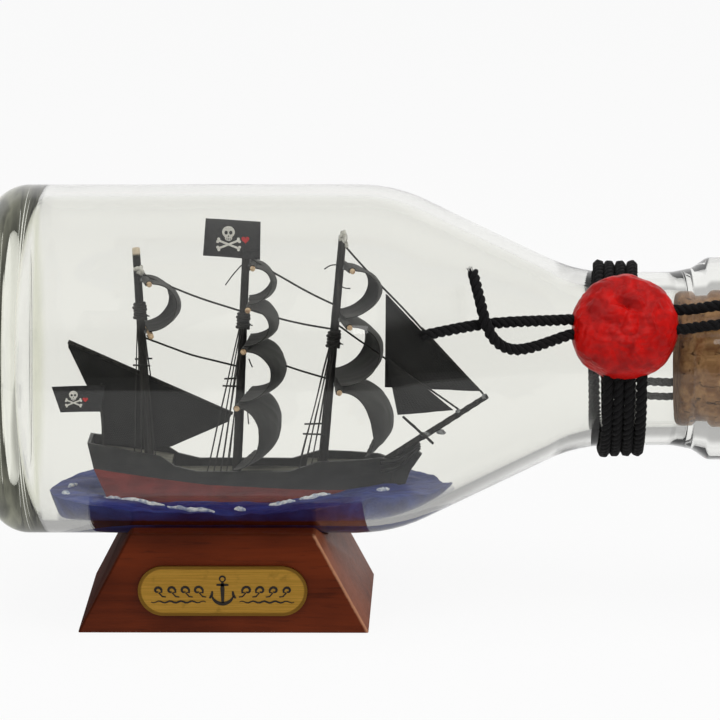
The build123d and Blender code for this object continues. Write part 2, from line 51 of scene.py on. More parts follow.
def make_camera():
    """A long lens, a little above the bottle and looking down at it."""
    data = bpy.data.cameras.new("front_view")
    data.lens, data.sensor_width = VIEW_LENS, 36.0
    data.clip_start, data.clip_end = 0.05, 60.0
    camera = bpy.data.objects.new("front_view", data)
    up = Vector((1, 0, 0)).cross(VIEW_AIM).normalized()
    right = VIEW_AIM.cross(up).normalized()
    turn = Matrix((right, up, -VIEW_AIM)).transposed().to_4x4()
    camera.matrix_world = Matrix.Translation(VIEW_PLACE) @ turn
    bpy.context.scene.collection.objects.link(camera)
    bpy.context.scene.camera = camera


make_camera()


# ---------------------------------------------------------------- finishes
class Value:
    """A socket whose number or colour changes over a surface, with Python's own arithmetic."""

    def __init__(self, finish, socket):
        self.finish, self.socket = finish, socket

    def sum(self, operation, *others):
        return self.finish.node("Math", {"operation": operation}, dict(enumerate((self, *others))))

    def __add__(self, other):
        return self.sum("ADD", other)

    def __radd__(self, other):
        return self.sum("ADD", other)

    def __mul__(self, other):
        return self.sum("MULTIPLY", other)

    def __rmul__(self, other):
        return self.sum("MULTIPLY", other)

    def __sub__(self, other):
        return self.sum("SUBTRACT", other)

    def __rsub__(self, other):
        return self.finish.node("Math", {"operation": "SUBTRACT"}, {0: other, 1: self})

    def __abs__(self):
        return self.sum("ABSOLUTE")

    def rise(self, start, end):
        """0 before start and 1 past end, smooth between them; start may be the larger."""
        settings = {"interpolation_type": "SMOOTHSTEP"}
        if start < end:
            return self.finish.node("MapRange", settings, {"Value": self, "From Min": start, "From Max": end})
        return 1 - self.rise(end, start)


class Finish:
    """A material built from nodes round one Principled shader."""

    def __init__(self, name, **settings):
        self.material = bpy.data.materials.new(name)
        self.material.use_nodes = True
        self.tree = self.material.node_tree
        self.shader = self.tree.nodes["Principled BSDF"]
        self.set(**settings)

    def set(self, **settings):
        for words, value in settings.items():
            name = words.replace("_", " ").title().replace("Ior", "IOR")
            self.link(self.shader.inputs[name], value)

    def link(self, socket, value):
        if isinstance(value, Value):
            self.tree.links.new(value.socket, socket)
        elif isinstance(value, tuple) and len(value) == 3 and socket.type == "RGBA":
            socket.default_value = (*value, 1.0)
        else:
            socket.default_value = value

    def node(self, kind, settings=None, inputs=None, output=0):
        """Any other node, by its type, its settings, and the values or links of its sockets."""
        node = self.tree.nodes.new("ShaderNode" + kind)
        for name, value in (settings or {}).items():
            setattr(node, name, value)
        for name, value in (inputs or {}).items():
            self.link(node.inputs[name], value)
        return Value(self, node.outputs[output])

    def place(self, scale=(1, 1, 1), centre=(0, 0, 0), turn=(0, 0, 0)):
        """The piece's own coordinates in metres, moved to a centre, turned and stretched."""
        source = self.node("TexCoord", output="Object")
        return self.moved(source, scale, centre, turn)

    def surface(self, scale=(1, 1, 1)):
        """The piece's own UV map, stretched."""
        return self.moved(self.node("UVMap", {"uv_map": "UVMap"}), scale)

    def moved(self, source, scale, centre=(0, 0, 0), turn=(0, 0, 0)):
        inputs = {"Vector": source, "Location": centre, "Rotation": turn, "Scale": scale}
        return self.node("Mapping", {"vector_type": "POINT"}, inputs)

    def parts(self, vector):
        split = self.node("SeparateXYZ", inputs={0: vector})
        return [Value(self, split.socket.node.outputs[axis]) for axis in range(3)]

    def specks(self, vector, scale, detail=4.0, roughness=0.55, warp=0.0):
        inputs = {"Vector": vector, "Scale": scale, "Detail": detail}
        inputs |= {"Roughness": roughness, "Distortion": warp}
        return self.node("TexNoise", inputs=inputs)

    def grain(self, stretch, detail=4.0, roughness=0.55, warp=0.0):
        """Specks drawn out along the piece's axes."""
        return self.specks(self.place(stretch), 1.0, detail, roughness, warp)

    def mirrored(self):
        """1 for a ray that has been reflected by a glossy surface, and 0 for any other."""
        return self.node("LightPath", output="Glossy Depth").rise(0.4, 0.6)

    def cells(self, vector, scale):
        return self.node("TexVoronoi", inputs={"Vector": vector, "Scale": scale})

    def mix(self, share, low, high):
        """One colour into another by a share."""
        node = self.tree.nodes.new("ShaderNodeMix")
        node.data_type = "RGBA"
        for socket, value in ((node.inputs[0], share), (node.inputs[6], low), (node.inputs[7], high)):
            self.link(socket, value)
        return Value(self, node.outputs[2])

    def relief(self, height, depth, strength=1.0):
        """Raise the surface by a height times a depth in metres."""
        inputs = {"Height": height, "Distance": depth, "Strength": strength}
        self.set(normal=self.node("Bump", inputs=inputs))


def cord_finish():
    """Black twisted cord, with its fibres running along each strand."""
    f = Finish("black_cord_twist", roughness=0.8, sheen_weight=0.03, sheen_roughness=0.4)
    f.set(specular_ior_level=0.15)
    fibre = f.specks(f.surface((14.0, 260.0, 1.0)), 1.0, 3.0)
    fuzz = f.specks(f.place(), 5200.0, 2.0)
    shade = 0.65 * fibre + 0.35 * fuzz
    f.set(base_color=f.mix(shade.rise(0.3, 0.75), (0.002, 0.002, 0.0022), (0.016, 0.0155, 0.016)))
    f.relief(shade, 0.00016)
    return f.material


def wax_finish():
    """Red sealing wax: even colour, soft gloss, with small dents, and darker patches at random as painted
    shade of its hollows.
    """
    f = Finish("red_wax_satin", coat_roughness=0.3, specular_ior_level=0.16)
    where = f.place()
    broad = f.specks(where, 210.0, 4.0, 0.6, 0.4)
    fine = f.specks(where, 900.0, 3.0, 0.6)
    painted_shade_specks = f.specks(where, 420.0, 5.0, 0.65)
    red = f.mix(broad.rise(0.3, 0.65), (0.25, 0.0012, 0.001), (0.47, 0.0035, 0.002))
    # Painted shade: random patches of darker red, standing in for the shade in the wax's dents.
    f.set(base_color=f.mix(painted_shade_specks.rise(0.62, 0.74) * 0.3, red, (0.24, 0.002, 0.002)))
    f.set(roughness=0.3 + 0.22 * fine, coat_weight=0.1)
    f.relief(0.6 * broad + 0.4 * fine, 0.00035)
    return f.material


def wood_finish(name, dark, light):
    """Stained close-grained wood, with painted light on it: its right end painted paler as if lit, a painted
    highlight along that end's edge, and its top and left end darkened as painted shade.
    """
    f = Finish(name, specular_ior_level=0.12)
    where = f.place()
    x, y, z = f.parts(where)
    grain = f.grain((22.0, 160.0, 210.0), 6.0, 0.62, 0.5)
    pores = f.grain((120.0, 1500.0, 1700.0), 3.0, 0.6)
    blotch = f.specks(where, 38.0, 3.0)
    shade = (0.6 * grain + 0.4 * blotch).rise(0.32, 0.68)
    stain = f.mix(shade, dark, light)
    stain = f.mix(pores.rise(0.56, 0.72) * 0.45, stain, tuple(0.4 * part for part in dark))
    from_end = (STAND_LENGTH / 2 - STAND_LEAN * z) - abs(x)
    from_face = STAND_DEPTH / 2 - abs(y)
    right = x.rise(0.0, 0.012)
    # Painted light: the right end face is painted paler and redder, as lit from the right.
    lit_right_end_face = from_end.rise(0.0007, 0.0002) * right
    stain = f.mix(lit_right_end_face * 0.8, stain, f.mix(shade, (0.12, 0.030, 0.012), (0.22, 0.065, 0.028)))
    # Painted highlight: a pale line along the right end's edges, standing in for the light they catch; only
    # the right end gets it.
    edge = from_end.sum("MAXIMUM", from_face) + 0.0005 * f.specks(where, 900.0, 3.0)
    right_edge_highlight = edge.rise(0.0011, 0.0004) * right
    stain = f.mix(right_edge_highlight * 0.75, stain, (0.42, 0.21, 0.12))
    # Painted shade: the top and the upper edge of the sides darkened, as shaded by the bottle above.
    top = z.rise(STAND_HEIGHT - 0.0006, STAND_HEIGHT - 0.0002)
    stain = f.mix(top * 0.5, stain, tuple(0.5 * part for part in dark))
    # Painted shade: the left end face darkened, as the side away from the light; it is also made rougher to
    # dull its sheen.
    shaded_left_end = from_end.rise(0.0007, 0.0002) * x.rise(0.0, -0.012)
    stain = f.mix(shaded_left_end * 0.6, stain, tuple(0.45 * part for part in dark))
    f.set(base_color=stain, roughness=0.4 + 0.2 * pores + 0.5 * shaded_left_end)
    f.relief(0.5 * grain + 0.5 * pores, 0.00012)
    return f.material


def brass_finish():
    """Brushed brass plate with a darker rim and a few specks of tarnish."""
    f = Finish("brushed_brass_plate", metallic=1.0)
    x, _, z = f.parts(f.place())
    brush = f.grain((90.0, 900.0, 9000.0), 4.0, 0.7)
    stain = f.specks(f.place(), 260.0, 5.0, 0.6)
    half_run = (PLATE_LENGTH - PLATE_HEIGHT) / 2
    past_run = (abs(x) - half_run).sum("MAXIMUM", 0.0)
    out = (past_run * past_run + (z - PLATE_Z) * (z - PLATE_Z)).sum("SQRT")
    rim = (out + 0.00016 * stain).rise(PLATE_HEIGHT / 2 - 0.0008, PLATE_HEIGHT / 2 - 0.0004)
    brass = f.mix(brush.rise(0.3, 0.7), (0.58, 0.31, 0.045), (0.85, 0.48, 0.09))
    brass = f.mix(stain.rise(0.6, 0.78) * 0.4, brass, (0.25, 0.13, 0.022))
    f.set(base_color=f.mix(rim * 0.7, brass, (0.16, 0.078, 0.016)), roughness=0.3 + 0.22 * brush)
    f.relief(brush, 0.00004)
    return f.material


def glass_finish():
    """Clear bottle glass, greenish round its thick heel, that lets light through to the ship; the heel also
    glows faintly in streaks, painted light for what its many inner bounces lose.
    """
    f = Finish("clear_bottle_glass", transmission_weight=1.0, ior=1.5, roughness=0.0)
    x, y, z = f.parts(f.place())
    out = (y * y + (z - AXIS_Z) * (z - AXIS_Z)).sum("SQRT")
    thick = x.rise(-0.0425, -0.0460) * out.rise(0.026, 0.034)
    streak = f.grain((300.0, 60.0, 60.0), 4.0, 0.6, 1.0)
    f.set(base_color=f.mix(thick, (0.950, 0.950, 0.918), (0.64, 0.65, 0.54)))
    # Painted light: a faint streaky glow on the thick heel, standing in for light lost in its many inner
    # bounces.
    painted_heel_glow = f.mix(streak.rise(0.3, 0.7), (0.025, 0.026, 0.019), (0.075, 0.075, 0.058))
    f.set(emission_color=f.mix(thick, (0.0, 0.0, 0.0), painted_heel_glow), emission_strength=1.0)
    ripple = f.grain((26.0, 42.0, 42.0), 2.0)
    f.relief(ripple, 0.0006, 0.12)
    output = f.tree.nodes["Material Output"]
    clear = f.tree.nodes.new("ShaderNodeBsdfTransparent")
    clear.inputs["Color"].default_value = (0.93, 0.93, 0.91, 1.0)
    blend = f.tree.nodes.new("ShaderNodeMixShader")
    ray = f.tree.nodes.new("ShaderNodeLightPath")
    f.tree.links.new(ray.outputs["Is Shadow Ray"], blend.inputs[0])
    f.tree.links.new(f.shader.outputs[0], blend.inputs[1])
    f.tree.links.new(clear.outputs[0], blend.inputs[2])
    f.tree.links.new(blend.outputs[0], output.inputs["Surface"])
    return f.material


def cork_finish():
    f = Finish("pitted_cork", roughness=0.85, specular_ior_level=0.25)
    where = f.place()
    grain = f.specks(where, 420.0, 5.0, 0.65)
    cells = f.cells(where, 620.0)
    pits = f.grain((300.0, 700.0, 700.0), 3.0, 0.6, 1.5)
    tan_cork = f.mix(grain.rise(0.3, 0.7), (0.15, 0.065, 0.024), (0.36, 0.20, 0.088))
    hollow = pits.rise(0.60, 0.68)
    f.set(base_color=f.mix(hollow * 0.8, tan_cork, (0.045, 0.018, 0.008)))
    f.relief(0.3 * cells + 0.4 * grain - hollow, 0.0005)
    return f.material


def putty_finish():
    """Blue modelling putty, streaked, with white brushed on the tops of the waves."""
    f = Finish("blue_sea_putty", roughness=0.5, specular_ior_level=0.4)
    where = f.place()
    swirl = f.grain((60.0, 130.0, 130.0), 5.0, 0.6, 1.2)
    fine = f.specks(where, 600.0, 3.0)
    blue = f.mix(swirl.rise(0.3, 0.7), (0.007, 0.011, 0.10), (0.028, 0.055, 0.27))
    height = f.node("Attribute", {"attribute_name": "crest"}, output="Fac")
    foam = (height + 0.5 * (fine - 0.5)).rise(0.45, 0.8)
    f.set(base_color=f.mix(foam, blue, (0.62, 0.66, 0.72)))
    f.relief(0.5 * swirl + 0.5 * fine, 0.0006)
    return f.material


def crest_finish():
    f = Finish("white_wave_paint", roughness=0.6)
    paint = f.specks(f.place(), 800.0, 4.0)
    f.set(base_color=f.mix(paint.rise(0.35, 0.6), (0.30, 0.36, 0.52), (0.82, 0.84, 0.86)))
    f.relief(paint, 0.0003)
    return f.material


def paint_finish(name, dark, light, gloss):
    """Hand-brushed model paint, a little uneven, rubbed on its high spots."""
    wear = (0.12, 0.11, 0.10)
    f = Finish(name, specular_ior_level=0.4)
    where = f.place()
    brush = f.grain((120.0, 420.0, 700.0), 4.0, 0.6)
    blotch = f.specks(where, 330.0, 4.0)
    rubbed = f.specks(where, 1300.0, 4.0, 0.7).rise(0.66, 0.76)
    colour = f.mix((0.5 * brush + 0.5 * blotch).rise(0.35, 0.65), dark, light)
    f.set(base_color=f.mix(rubbed * 0.35, colour, wear), roughness=gloss + 0.2 * brush)
    f.relief(0.7 * brush + 0.3 * blotch, 0.00012)
    return f.material


def deck_finish():
    """Grey deck with plank seams along it."""
    f = Finish("grey_planked_deck", roughness=0.62)
    where = f.place()
    _, y, _ = f.parts(where)
    plank = (y * (1000.0 / 0.9)).sum("FRACT")
    seam = abs(plank - 0.5).rise(0.40, 0.47)
    weather = f.grain((90.0, 900.0, 900.0), 5.0, 0.6)
    grey = f.mix(weather.rise(0.3, 0.7), (0.13, 0.13, 0.105), (0.27, 0.26, 0.21))
    f.set(base_color=f.mix(seam * 0.8, grey, (0.03, 0.028, 0.022)))
    f.relief(weather - 0.8 * seam, 0.00015)
    return f.material


def spar_finish():
    """Dark-stained dowel, its grain along it, left pale where the masts' heads were cut."""
    f = Finish("dark_stained_spar", specular_ior_level=0.4)
    where = f.place()
    x, _, z = f.parts(where)
    grain = f.grain((1800.0, 1800.0, 60.0), 4.0, 0.6)
    chips = f.specks(where, 700.0, 4.0, 0.7).rise(0.66, 0.72)
    dark = f.mix(grain.rise(0.35, 0.7), (0.006, 0.006, 0.0065), (0.035, 0.033, 0.03))
    dark = f.mix(chips * 0.4, dark, (0.16, 0.12, 0.08))
    head = (z - SEA_LEVEL + 0.0008 * grain).rise(0.0530, 0.0537) * x.rise(0.02, 0.015)
    f.set(base_color=f.mix(head, dark, (0.60, 0.50, 0.38)), roughness=0.5 + 0.2 * grain)
    f.relief(grain, 0.0001)
    return f.material


def pale_wood_finish():
    f = Finish("pale_yard_wood", roughness=0.7, specular_ior_level=0.3)
    rings = f.grain((900.0, 120.0, 900.0), 4.0, 0.6, 0.6)
    edge = f.specks(f.place(), 1500.0, 3.0)
    f.set(base_color=f.mix((0.7 * rings + 0.3 * edge).rise(0.3, 0.7), (0.22, 0.12, 0.06), (0.66, 0.50, 0.33)))
    f.relief(rings, 0.0001)
    return f.material


def cloth_finish():
    """Thin black sailcloth with a fine plain weave, over its own UV map in threads."""
    dark, light = (0.005, 0.005, 0.0055), (0.024, 0.024, 0.023)
    f = Finish("black_sailcloth_weave", roughness=0.72, sheen_weight=0.15, sheen_roughness=0.5)
    f.set(specular_ior_level=0.3)
    u, v, _ = f.parts(f.surface())
    warp = (u * (2 * pi)).sum("SINE")
    weft = (v * (2 * pi)).sum("SINE")
    weave = 0.5 + 0.25 * warp * weft + 0.25 * (warp + weft) * 0.5
    slub = f.specks(f.surface((0.35, 2.2, 1.0)), 1.0, 4.0, 0.6)
    cloud = f.specks(f.place(), 160.0, 4.0)
    shade = 0.4 * weave + 0.35 * slub + 0.25 * cloud
    f.set(base_color=f.mix(shade.rise(0.3, 0.72), dark, light))
    f.relief(0.7 * weave + 0.3 * slub, 0.00007)
    return f.material


def thread_finish():
    f = Finish("black_rigging_thread", roughness=0.7, sheen_weight=0.1, specular_ior_level=0.35)
    x, _, z = f.parts(f.place())
    lay = ((x + z) * 14000.0).sum("SINE")
    lint = f.specks(f.place(), 2600.0, 3.0)
    f.set(base_color=f.mix((0.3 * lay + lint).rise(0.2, 0.9), (0.004, 0.004, 0.004), (0.045, 0.043, 0.04)))
    f.relief(0.3 * lay + lint, 0.00005)
    return f.material


def glue_finish(name, low, high):
    """Dried clear glue, milky and glossy, with dust caught in it."""
    f = Finish(name, roughness=0.25, coat_weight=0.3, specular_ior_level=0.6)
    dust = f.specks(f.place(), 1400.0, 4.0)
    f.set(base_color=f.mix(dust.rise(0.35, 0.65), low, high))
    f.relief(dust, 0.0002)
    return f.material


def flag_finish(name, dark, light):
    """Printed paper: matt ink with the paper's fibres showing through."""
    f = Finish(name, roughness=0.75, specular_ior_level=0.3)
    fibres = f.grain((900.0, 900.0, 2400.0), 5.0, 0.7)
    print_wear = f.specks(f.place(), 3000.0, 3.0)
    f.set(base_color=f.mix((0.6 * fibres + 0.4 * print_wear).rise(0.35, 0.7), dark, light))
    f.relief(fibres, 0.00005)
    return f.material


# Sizes repeated from the CAD part, in metres
STAND_LENGTH, STAND_DEPTH, STAND_HEIGHT, STAND_LEAN = 0.063, 0.049, 0.022, 0.53
PLATE_LENGTH, PLATE_HEIGHT, PLATE_THICKNESS, PLATE_Z = 0.0365, 0.011, 0.0008, 0.0096
AXIS_Z = 0.0553
BODY_RADIUS, NECK_RADIUS, BORE_RADIUS = 0.038, 0.01885, 0.015
SEA_LEVEL = 0.02548
CORD = 0.0024
CLOTH = 0.00035


# ---------------------------------------------------------------- modelling by operators
def deselect():
    if bpy.context.object is not None and bpy.context.object.mode != "OBJECT":
        bpy.ops.object.mode_set(mode="OBJECT")
    bpy.ops.object.select_all(action="DESELECT")


def primitive(kind, name, scale=(1, 1, 1), **place):
    """A new primitive at its size and place, and nothing else selected."""
    deselect()
    getattr(bpy.ops.mesh, f"primitive_{kind}_add")(**place)
    piece = bpy.context.object
    piece.scale = scale
    piece.name = piece.data.name = name
    return piece


def only(piece):
    deselect()
    piece.select_set(True)
    bpy.context.view_layer.objects.active = piece


def edit(piece, kind="VERT"):
    only(piece)
    bpy.ops.object.mode_set(mode="EDIT")
    bpy.ops.mesh.select_mode(type=kind)


def done():
    bpy.ops.object.mode_set(mode="OBJECT")


def pick(piece, test, kind="verts"):
    """In edit mode, select the points, edges or faces that pass a test on their middle and normal."""
    form = bmesh.from_edit_mesh(piece.data)
    for group in (form.verts, form.edges, form.faces):
        for item in group:
            item.select = False
    for item in getattr(form, kind):
        if kind == "verts":
            chosen = test(piece.matrix_world @ item.co)
        elif kind == "edges":
            ends = [piece.matrix_world @ point.co for point in item.verts]
            chosen = test(*ends)
        else:
            turn = piece.matrix_world.to_3x3()
            chosen = test(piece.matrix_world @ item.calc_center_median(), (turn @ item.normal).normalized())
        item.select_set(bool(chosen))
    form.select_flush_mode()
    bmesh.update_edit_mesh(piece.data)


def modify(piece, kind, **settings):
    """Add a modifier and apply it at once."""
    only(piece)
    modifier = piece.modifiers.new(kind.title(), kind)
    for name, value in settings.items():
        setattr(modifier, name, value)
    bpy.ops.object.modifier_apply(modifier=modifier.name)


def settle(piece):
    """Put the piece's place, turn and scale into its mesh."""
    only(piece)
    bpy.ops.object.transform_apply(location=True, rotation=True, scale=True)


def smooth(piece, degrees=None):
    only(piece)
    if degrees is None:
        bpy.ops.object.shade_smooth()
    else:
        bpy.ops.object.shade_smooth_by_angle(angle=radians(degrees))


def outward(piece):
    edit(piece)
    bpy.ops.mesh.select_all(action="SELECT")
    bpy.ops.mesh.remove_doubles(threshold=1e-7)
    bpy.ops.mesh.normals_make_consistent(inside=False)
    done()


def join(name, pieces):
    """Several meshes made into one piece."""
    deselect()
    for piece in pieces:
        piece.select_set(True)
    bpy.context.view_layer.objects.active = pieces[0]
    bpy.ops.object.join()
    piece = bpy.context.object
    piece.name = piece.data.name = name
    return piece


def remove(piece):
    bpy.data.objects.remove(piece, do_unlink=True)


def finish_piece(piece, material, body="bottle", nodes=()):
    """Its finish, its body, and the CAD nodes that it stands for."""
    settle(piece)
    piece.data.materials.clear()
    piece.data.materials.append(material)
    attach(piece, body)
    if nodes:
        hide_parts(*nodes)
    return piece


def sculpt(piece, move):
    """Move every point of a settled mesh by a function of its place."""
    for point in piece.data.vertices:
        point.co = move(point.co)
    piece.data.update()


def lump(place, size, seed=0.0):
    """A smooth swelling between -1 and 1 that changes over a distance."""
    return noise.noise(Vector(place) / size + Vector((seed, 2 * seed, -seed)))


def outline_of(name, points):
    """A chain of edges through points, extruded one after another from a single vertex."""
    piece = primitive("plane", name, size=0.001, location=points[0])
    edit(piece)
    bpy.ops.mesh.select_all(action="SELECT")
    bpy.ops.mesh.merge(type="CENTER")
    for start, end in zip(points, points[1:]):
        step = Vector(end) - Vector(start)
        bpy.ops.mesh.extrude_region_move(TRANSFORM_OT_translate={"value": step})
    done()
    settle(piece)
    return piece


def spun(name, profile, steps):
    """A profile of (place along the bottle, radius) turned once round the bottle's axis."""
    piece = outline_of(name, [(x, 0, AXIS_Z + r) for x, r in profile])
    edit(piece)
    bpy.ops.mesh.select_all(action="SELECT")
    bpy.ops.mesh.spin(steps=steps, angle=2 * pi, center=(0, 0, AXIS_Z), axis=(1, 0, 0))
    done()
    outward(piece)
    return piece


def rounded(corners, radii, turn=radians(5)):
    """A profile's corners with a fillet of its own radius at each inner one."""
    corners = [Vector(corner) for corner in corners]
    points = [corners[0]]
    for before, corner, after, radius in zip(corners, corners[1:], corners[2:], radii):
        into, out = (corner - before).normalized(), (after - corner).normalized()
        angle = into.angle(out)
        if angle < 1e-4 or radius <= 0:
            points.append(corner)
            continue
        start = corner - into * radius * tan(angle / 2)
        side = 1 if into.x * out.y - into.y * out.x > 0 else -1
        across = Vector((-into.y, into.x)) * side
        centre = start + across * radius
        steps = max(2, round(angle / turn))
        for step in range(steps + 1):
            a = angle * step / steps
            points.append(centre - across * radius * cos(a) + into * radius * sin(a))
    points.append(corners[-1])
    return [tuple(point) for point in points]


# ---------------------------------------------------------------- cords and threads
def run_lengths(points):
    steps = np.linalg.norm(np.diff(points, axis=0), axis=1)
    return np.concatenate([[0.0], np.cumsum(steps)])


def carried_frames(points):
    """At each point of a line, the way it runs and two directions across it that never twist."""
    runs = np.gradient(points, axis=0)
    runs /= np.linalg.norm(runs, axis=1)[:, None]
    start = np.cross(runs[0], (0.31, 0.17, 0.93))
    across = [start / np.linalg.norm(start)]
    for run in runs[1:]:
        side = across[-1] - run * np.dot(across[-1], run)
        across.append(side / np.linalg.norm(side))
    across = np.array(across)
    return runs, across, np.cross(runs, across)


def tube_mesh(name, lines, radius, sides=8, taper=None):
    """Round strands along lines of points, closed at their ends, with UV in metres along them."""
    points, faces, uv = [], [], []
    for line in lines:
        line = np.array(line, float)
        _, across, up = carried_frames(line)
        lengths, first = run_lengths(line), len(points)
        for number, (middle, a, b) in enumerate(zip(line, across, up)):
            size = radius if taper is None else radius * taper(number / (len(line) - 1))
            for side in range(sides):
                angle = 2 * pi * side / sides
                points.append(middle + size * (a * cos(angle) + b * sin(angle)))
        for row in range(len(line) - 1):
            for side in range(sides):
                other = (side + 1) % sides
                low, high = first + row * sides, first + (row + 1) * sides
                faces.append((low + side, low + other, high + other, high + side))
                u0, u1 = side / sides, (side + 1) / sides
                v0, v1 = lengths[row] / 0.01, lengths[row + 1] / 0.01
                uv += [(u0, v0), (u1, v0), (u1, v1), (u0, v1)]
        last = first + (len(line) - 1) * sides
        faces.append(tuple(first + side for side in reversed(range(sides))))
        faces.append(tuple(last + side for side in range(sides)))
        uv += [(0.5, 0.0)] * sides + [(0.5, lengths[-1] / 0.01)] * sides
    mesh = bpy.data.meshes.new(name)
    mesh.from_pydata([tuple(point) for point in points], [], faces)
    layer = mesh.uv_layers.new(name="UVMap")
    layer.data.foreach_set("uv", np.array(uv, float).ravel())
    mesh.polygons.foreach_set("use_smooth", [len(face) == 4 for face in faces])
    mesh.update()
    piece = bpy.data.objects.new(name, mesh)
    bpy.context.scene.collection.objects.link(piece)
    return piece


def twisted(points, width, lay, start_turn=0.0):
    """The middles of three strands that wind round a line of points, as in a laid cord."""
    points = np.array(points, float)
    _, across, up = carried_frames(points)
    turns = 2 * pi * run_lengths(points) / lay + start_turn
    strand = 0.464 * width / 2
    lines = []
    for third in range(3):
        angle = turns + third * 2 * pi / 3
        wind = across * np.cos(angle)[:, None] + up * np.sin(angle)[:, None]
        lines.append(points + wind * (width / 2 - strand))
    return lines, strand


def laid_cord(name, lines_of_points, width=CORD, lay=0.0052):
    strands = []
    for number, points in enumerate(lines_of_points):
        lines, thickness = twisted(points, width, lay, number)
        strands += lines
    return tube_mesh(name, strands, thickness * 1.08)


def drawn_line(name, route, fineness=24):
    """The points of one smooth NURBS line through a route, read from the curve itself."""
    data = bpy.data.curves.new(name, "CURVE")
    data.dimensions, data.resolution_u = "3D", fineness
    spline = data.splines.new("NURBS")
    spline.points.add(len(route) - 1)
    for point, place in zip(spline.points, route):
        point.co = (*place, 1.0)
    spline.order_u = 3
    spline.use_endpoint_u = True
    holder = bpy.data.objects.new(name, data)
    bpy.context.scene.collection.objects.link(holder)
    mesh = bpy.data.meshes.new_from_object(holder)
    points = [tuple(point.co) for point in mesh.vertices]
    bpy.data.objects.remove(holder, do_unlink=True)
    bpy.data.meshes.remove(mesh)
    return points


CORD_BLACK = cord_finish()
SEAL_RADIUS = 0.0113
LONG_TAIL = [(0.0796, -0.0162, 0.0672), (0.0784, -0.0165, 0.0676), (0.0744, -0.0179, 0.0677),
             (0.0694, -0.0204, 0.0680), (0.0626, -0.0238, 0.0685), (0.0562, -0.0271, 0.0687),
             (0.0494, -0.0311, 0.0684), (0.0434, -0.0343, 0.0677)]
CURLED_TAIL = [(0.0796, -0.0174, 0.0656), (0.0784, -0.0180, 0.0653), (0.0746, -0.0195, 0.0648),
               (0.0707, -0.0218, 0.0639), (0.0660, -0.0248, 0.0629), (0.0616, -0.0274, 0.0630),
               (0.0581, -0.0296, 0.0658), (0.0563, -0.0299, 0.0703), (0.0552, -0.0281, 0.0750),
               (0.0539, -0.0236, 0.0792)]


def make_tail(name, node, route):
    """A free tail of the cord, from inside the wax to its cut end."""
    points = drawn_line(name, route)
    piece = laid_cord(name, [points])
    finish_piece(piece, CORD_BLACK, nodes=[node])
    return points


long_points = make_tail("long_cord_tail", "cord_tail_long", LONG_TAIL)
curled_points = make_tail("curled_cord_tail", "cord_tail_curled", CURLED_TAIL)


def make_frayed_ends():
    """Short loose fibres at the cut end of each tail."""
    hairs = []
    for points in (long_points, curled_points):
        end, way = Vector(points[-1]), (Vector(points[-1]) - Vector(points[-4])).normalized()
        for number in range(14):
            spread = Vector([lump((number, number * 0.7, axis), 0.37, 3.1) for axis in range(3)])
            root = end + spread * 0.0011 - way * 0.0004
            tip = root + way * (0.0007 + 0.0005 * abs(spread.x)) + spread * 0.0007
            hairs.append([tuple(root), tuple((root + tip) / 2 + spread * 0.00012), tuple(tip)])
    piece = tube_mesh("cord_end_fibres", hairs, 0.00009, 5)
    finish_piece(piece, CORD_BLACK)


make_frayed_ends()

WRAPS_X, WRAP_PITCH, WRAP_TURNS, WRAP_STEPS = 0.0853, 0.0024, 4, 150
WRAP_RADIUS = NECK_RADIUS + 0.00005 + CORD / 2
NECK_FILLET, SHOULDER_FILLET = 0.032, 0.035
NECK_CORNER_X, SHOULDER_CORNER_X = 0.0766, 0.0365
SHOULDER_SLOPE = (BODY_RADIUS - NECK_RADIUS) / (NECK_CORNER_X - SHOULDER_CORNER_X)


def neck_swell(x):
    """How much wider the neck still is at a place near the shoulder."""
    fillet_end = NECK_CORNER_X + NECK_FILLET * tan(0.5 * atan2(SHOULDER_SLOPE, 1))
    inside = max(0.0, fillet_end - x)
    return NECK_FILLET - sqrt(NECK_FILLET ** 2 - inside ** 2)


def make_wraps():
    """Four turns of the cord round the neck, wound as one helix with its ends under the seal."""
    points = []
    for step in range(WRAP_TURNS * WRAP_STEPS + 1):
        turn = step / WRAP_STEPS
        angle = radians(150) - 2 * pi * turn
        x = WRAPS_X + (turn - WRAP_TURNS / 2) * WRAP_PITCH + 0.0001 * sin(angle * 1.7)
        r = WRAP_RADIUS + neck_swell(x - CORD / 2) + 0.00008 * sin(3.1 * angle)
        points.append((x, r * cos(angle), AXIS_Z + r * sin(angle)))
    piece = laid_cord("neck_cord_turns", [points], CORD * 1.06)
    finish_piece(piece, CORD_BLACK, nodes=["neck_cord_wraps"])


make_wraps()


TIE_TURN, SEAL_TURN = radians(35.3), radians(57.5)
SEAL_X, SEAL_SUNK, SEAL_BACK_Z = 0.0864, 0.0022, -0.0056


def make_tie():
    """Two strands from the seal over the lip and the cork, and back to the turns behind the neck."""
    turn = TIE_TURN
    stops = [(0.0925, 0.0212), (0.0955, 0.0216), (0.0985, 0.0213), (0.1010, 0.0216), (0.1040, 0.0235),
             (0.1068, 0.0237), (0.1115, 0.0237), (0.1140, 0.0232), (0.1180, 0.0200), (0.1222, 0.0178),
             (0.1250, 0.0163), (0.1254, 0.0135), (0.1253, 0.0060)]
    runs = []
    for side in (-0.0022, 0.0022):
        way = stops + [(x, -reach) for x, reach in reversed(stops[1:])] + [(0.0905, -0.0207)]
        route = []
        for number, (x, reach) in enumerate(way):
            apart = side * (1 + 0.08 * sin(number * 2.3 + side * 900))
            y = -reach * cos(turn) + apart * sin(turn)
            z = reach * sin(turn) + apart * cos(turn)
            route.append((x, y, AXIS_Z + z))
        runs.append(drawn_line("tie_line", route, 12))
    piece = laid_cord("tied_cord_strands", runs)
    finish_piece(piece, CORD_BLACK, nodes=["cork_tie_cord"])


make_tie()


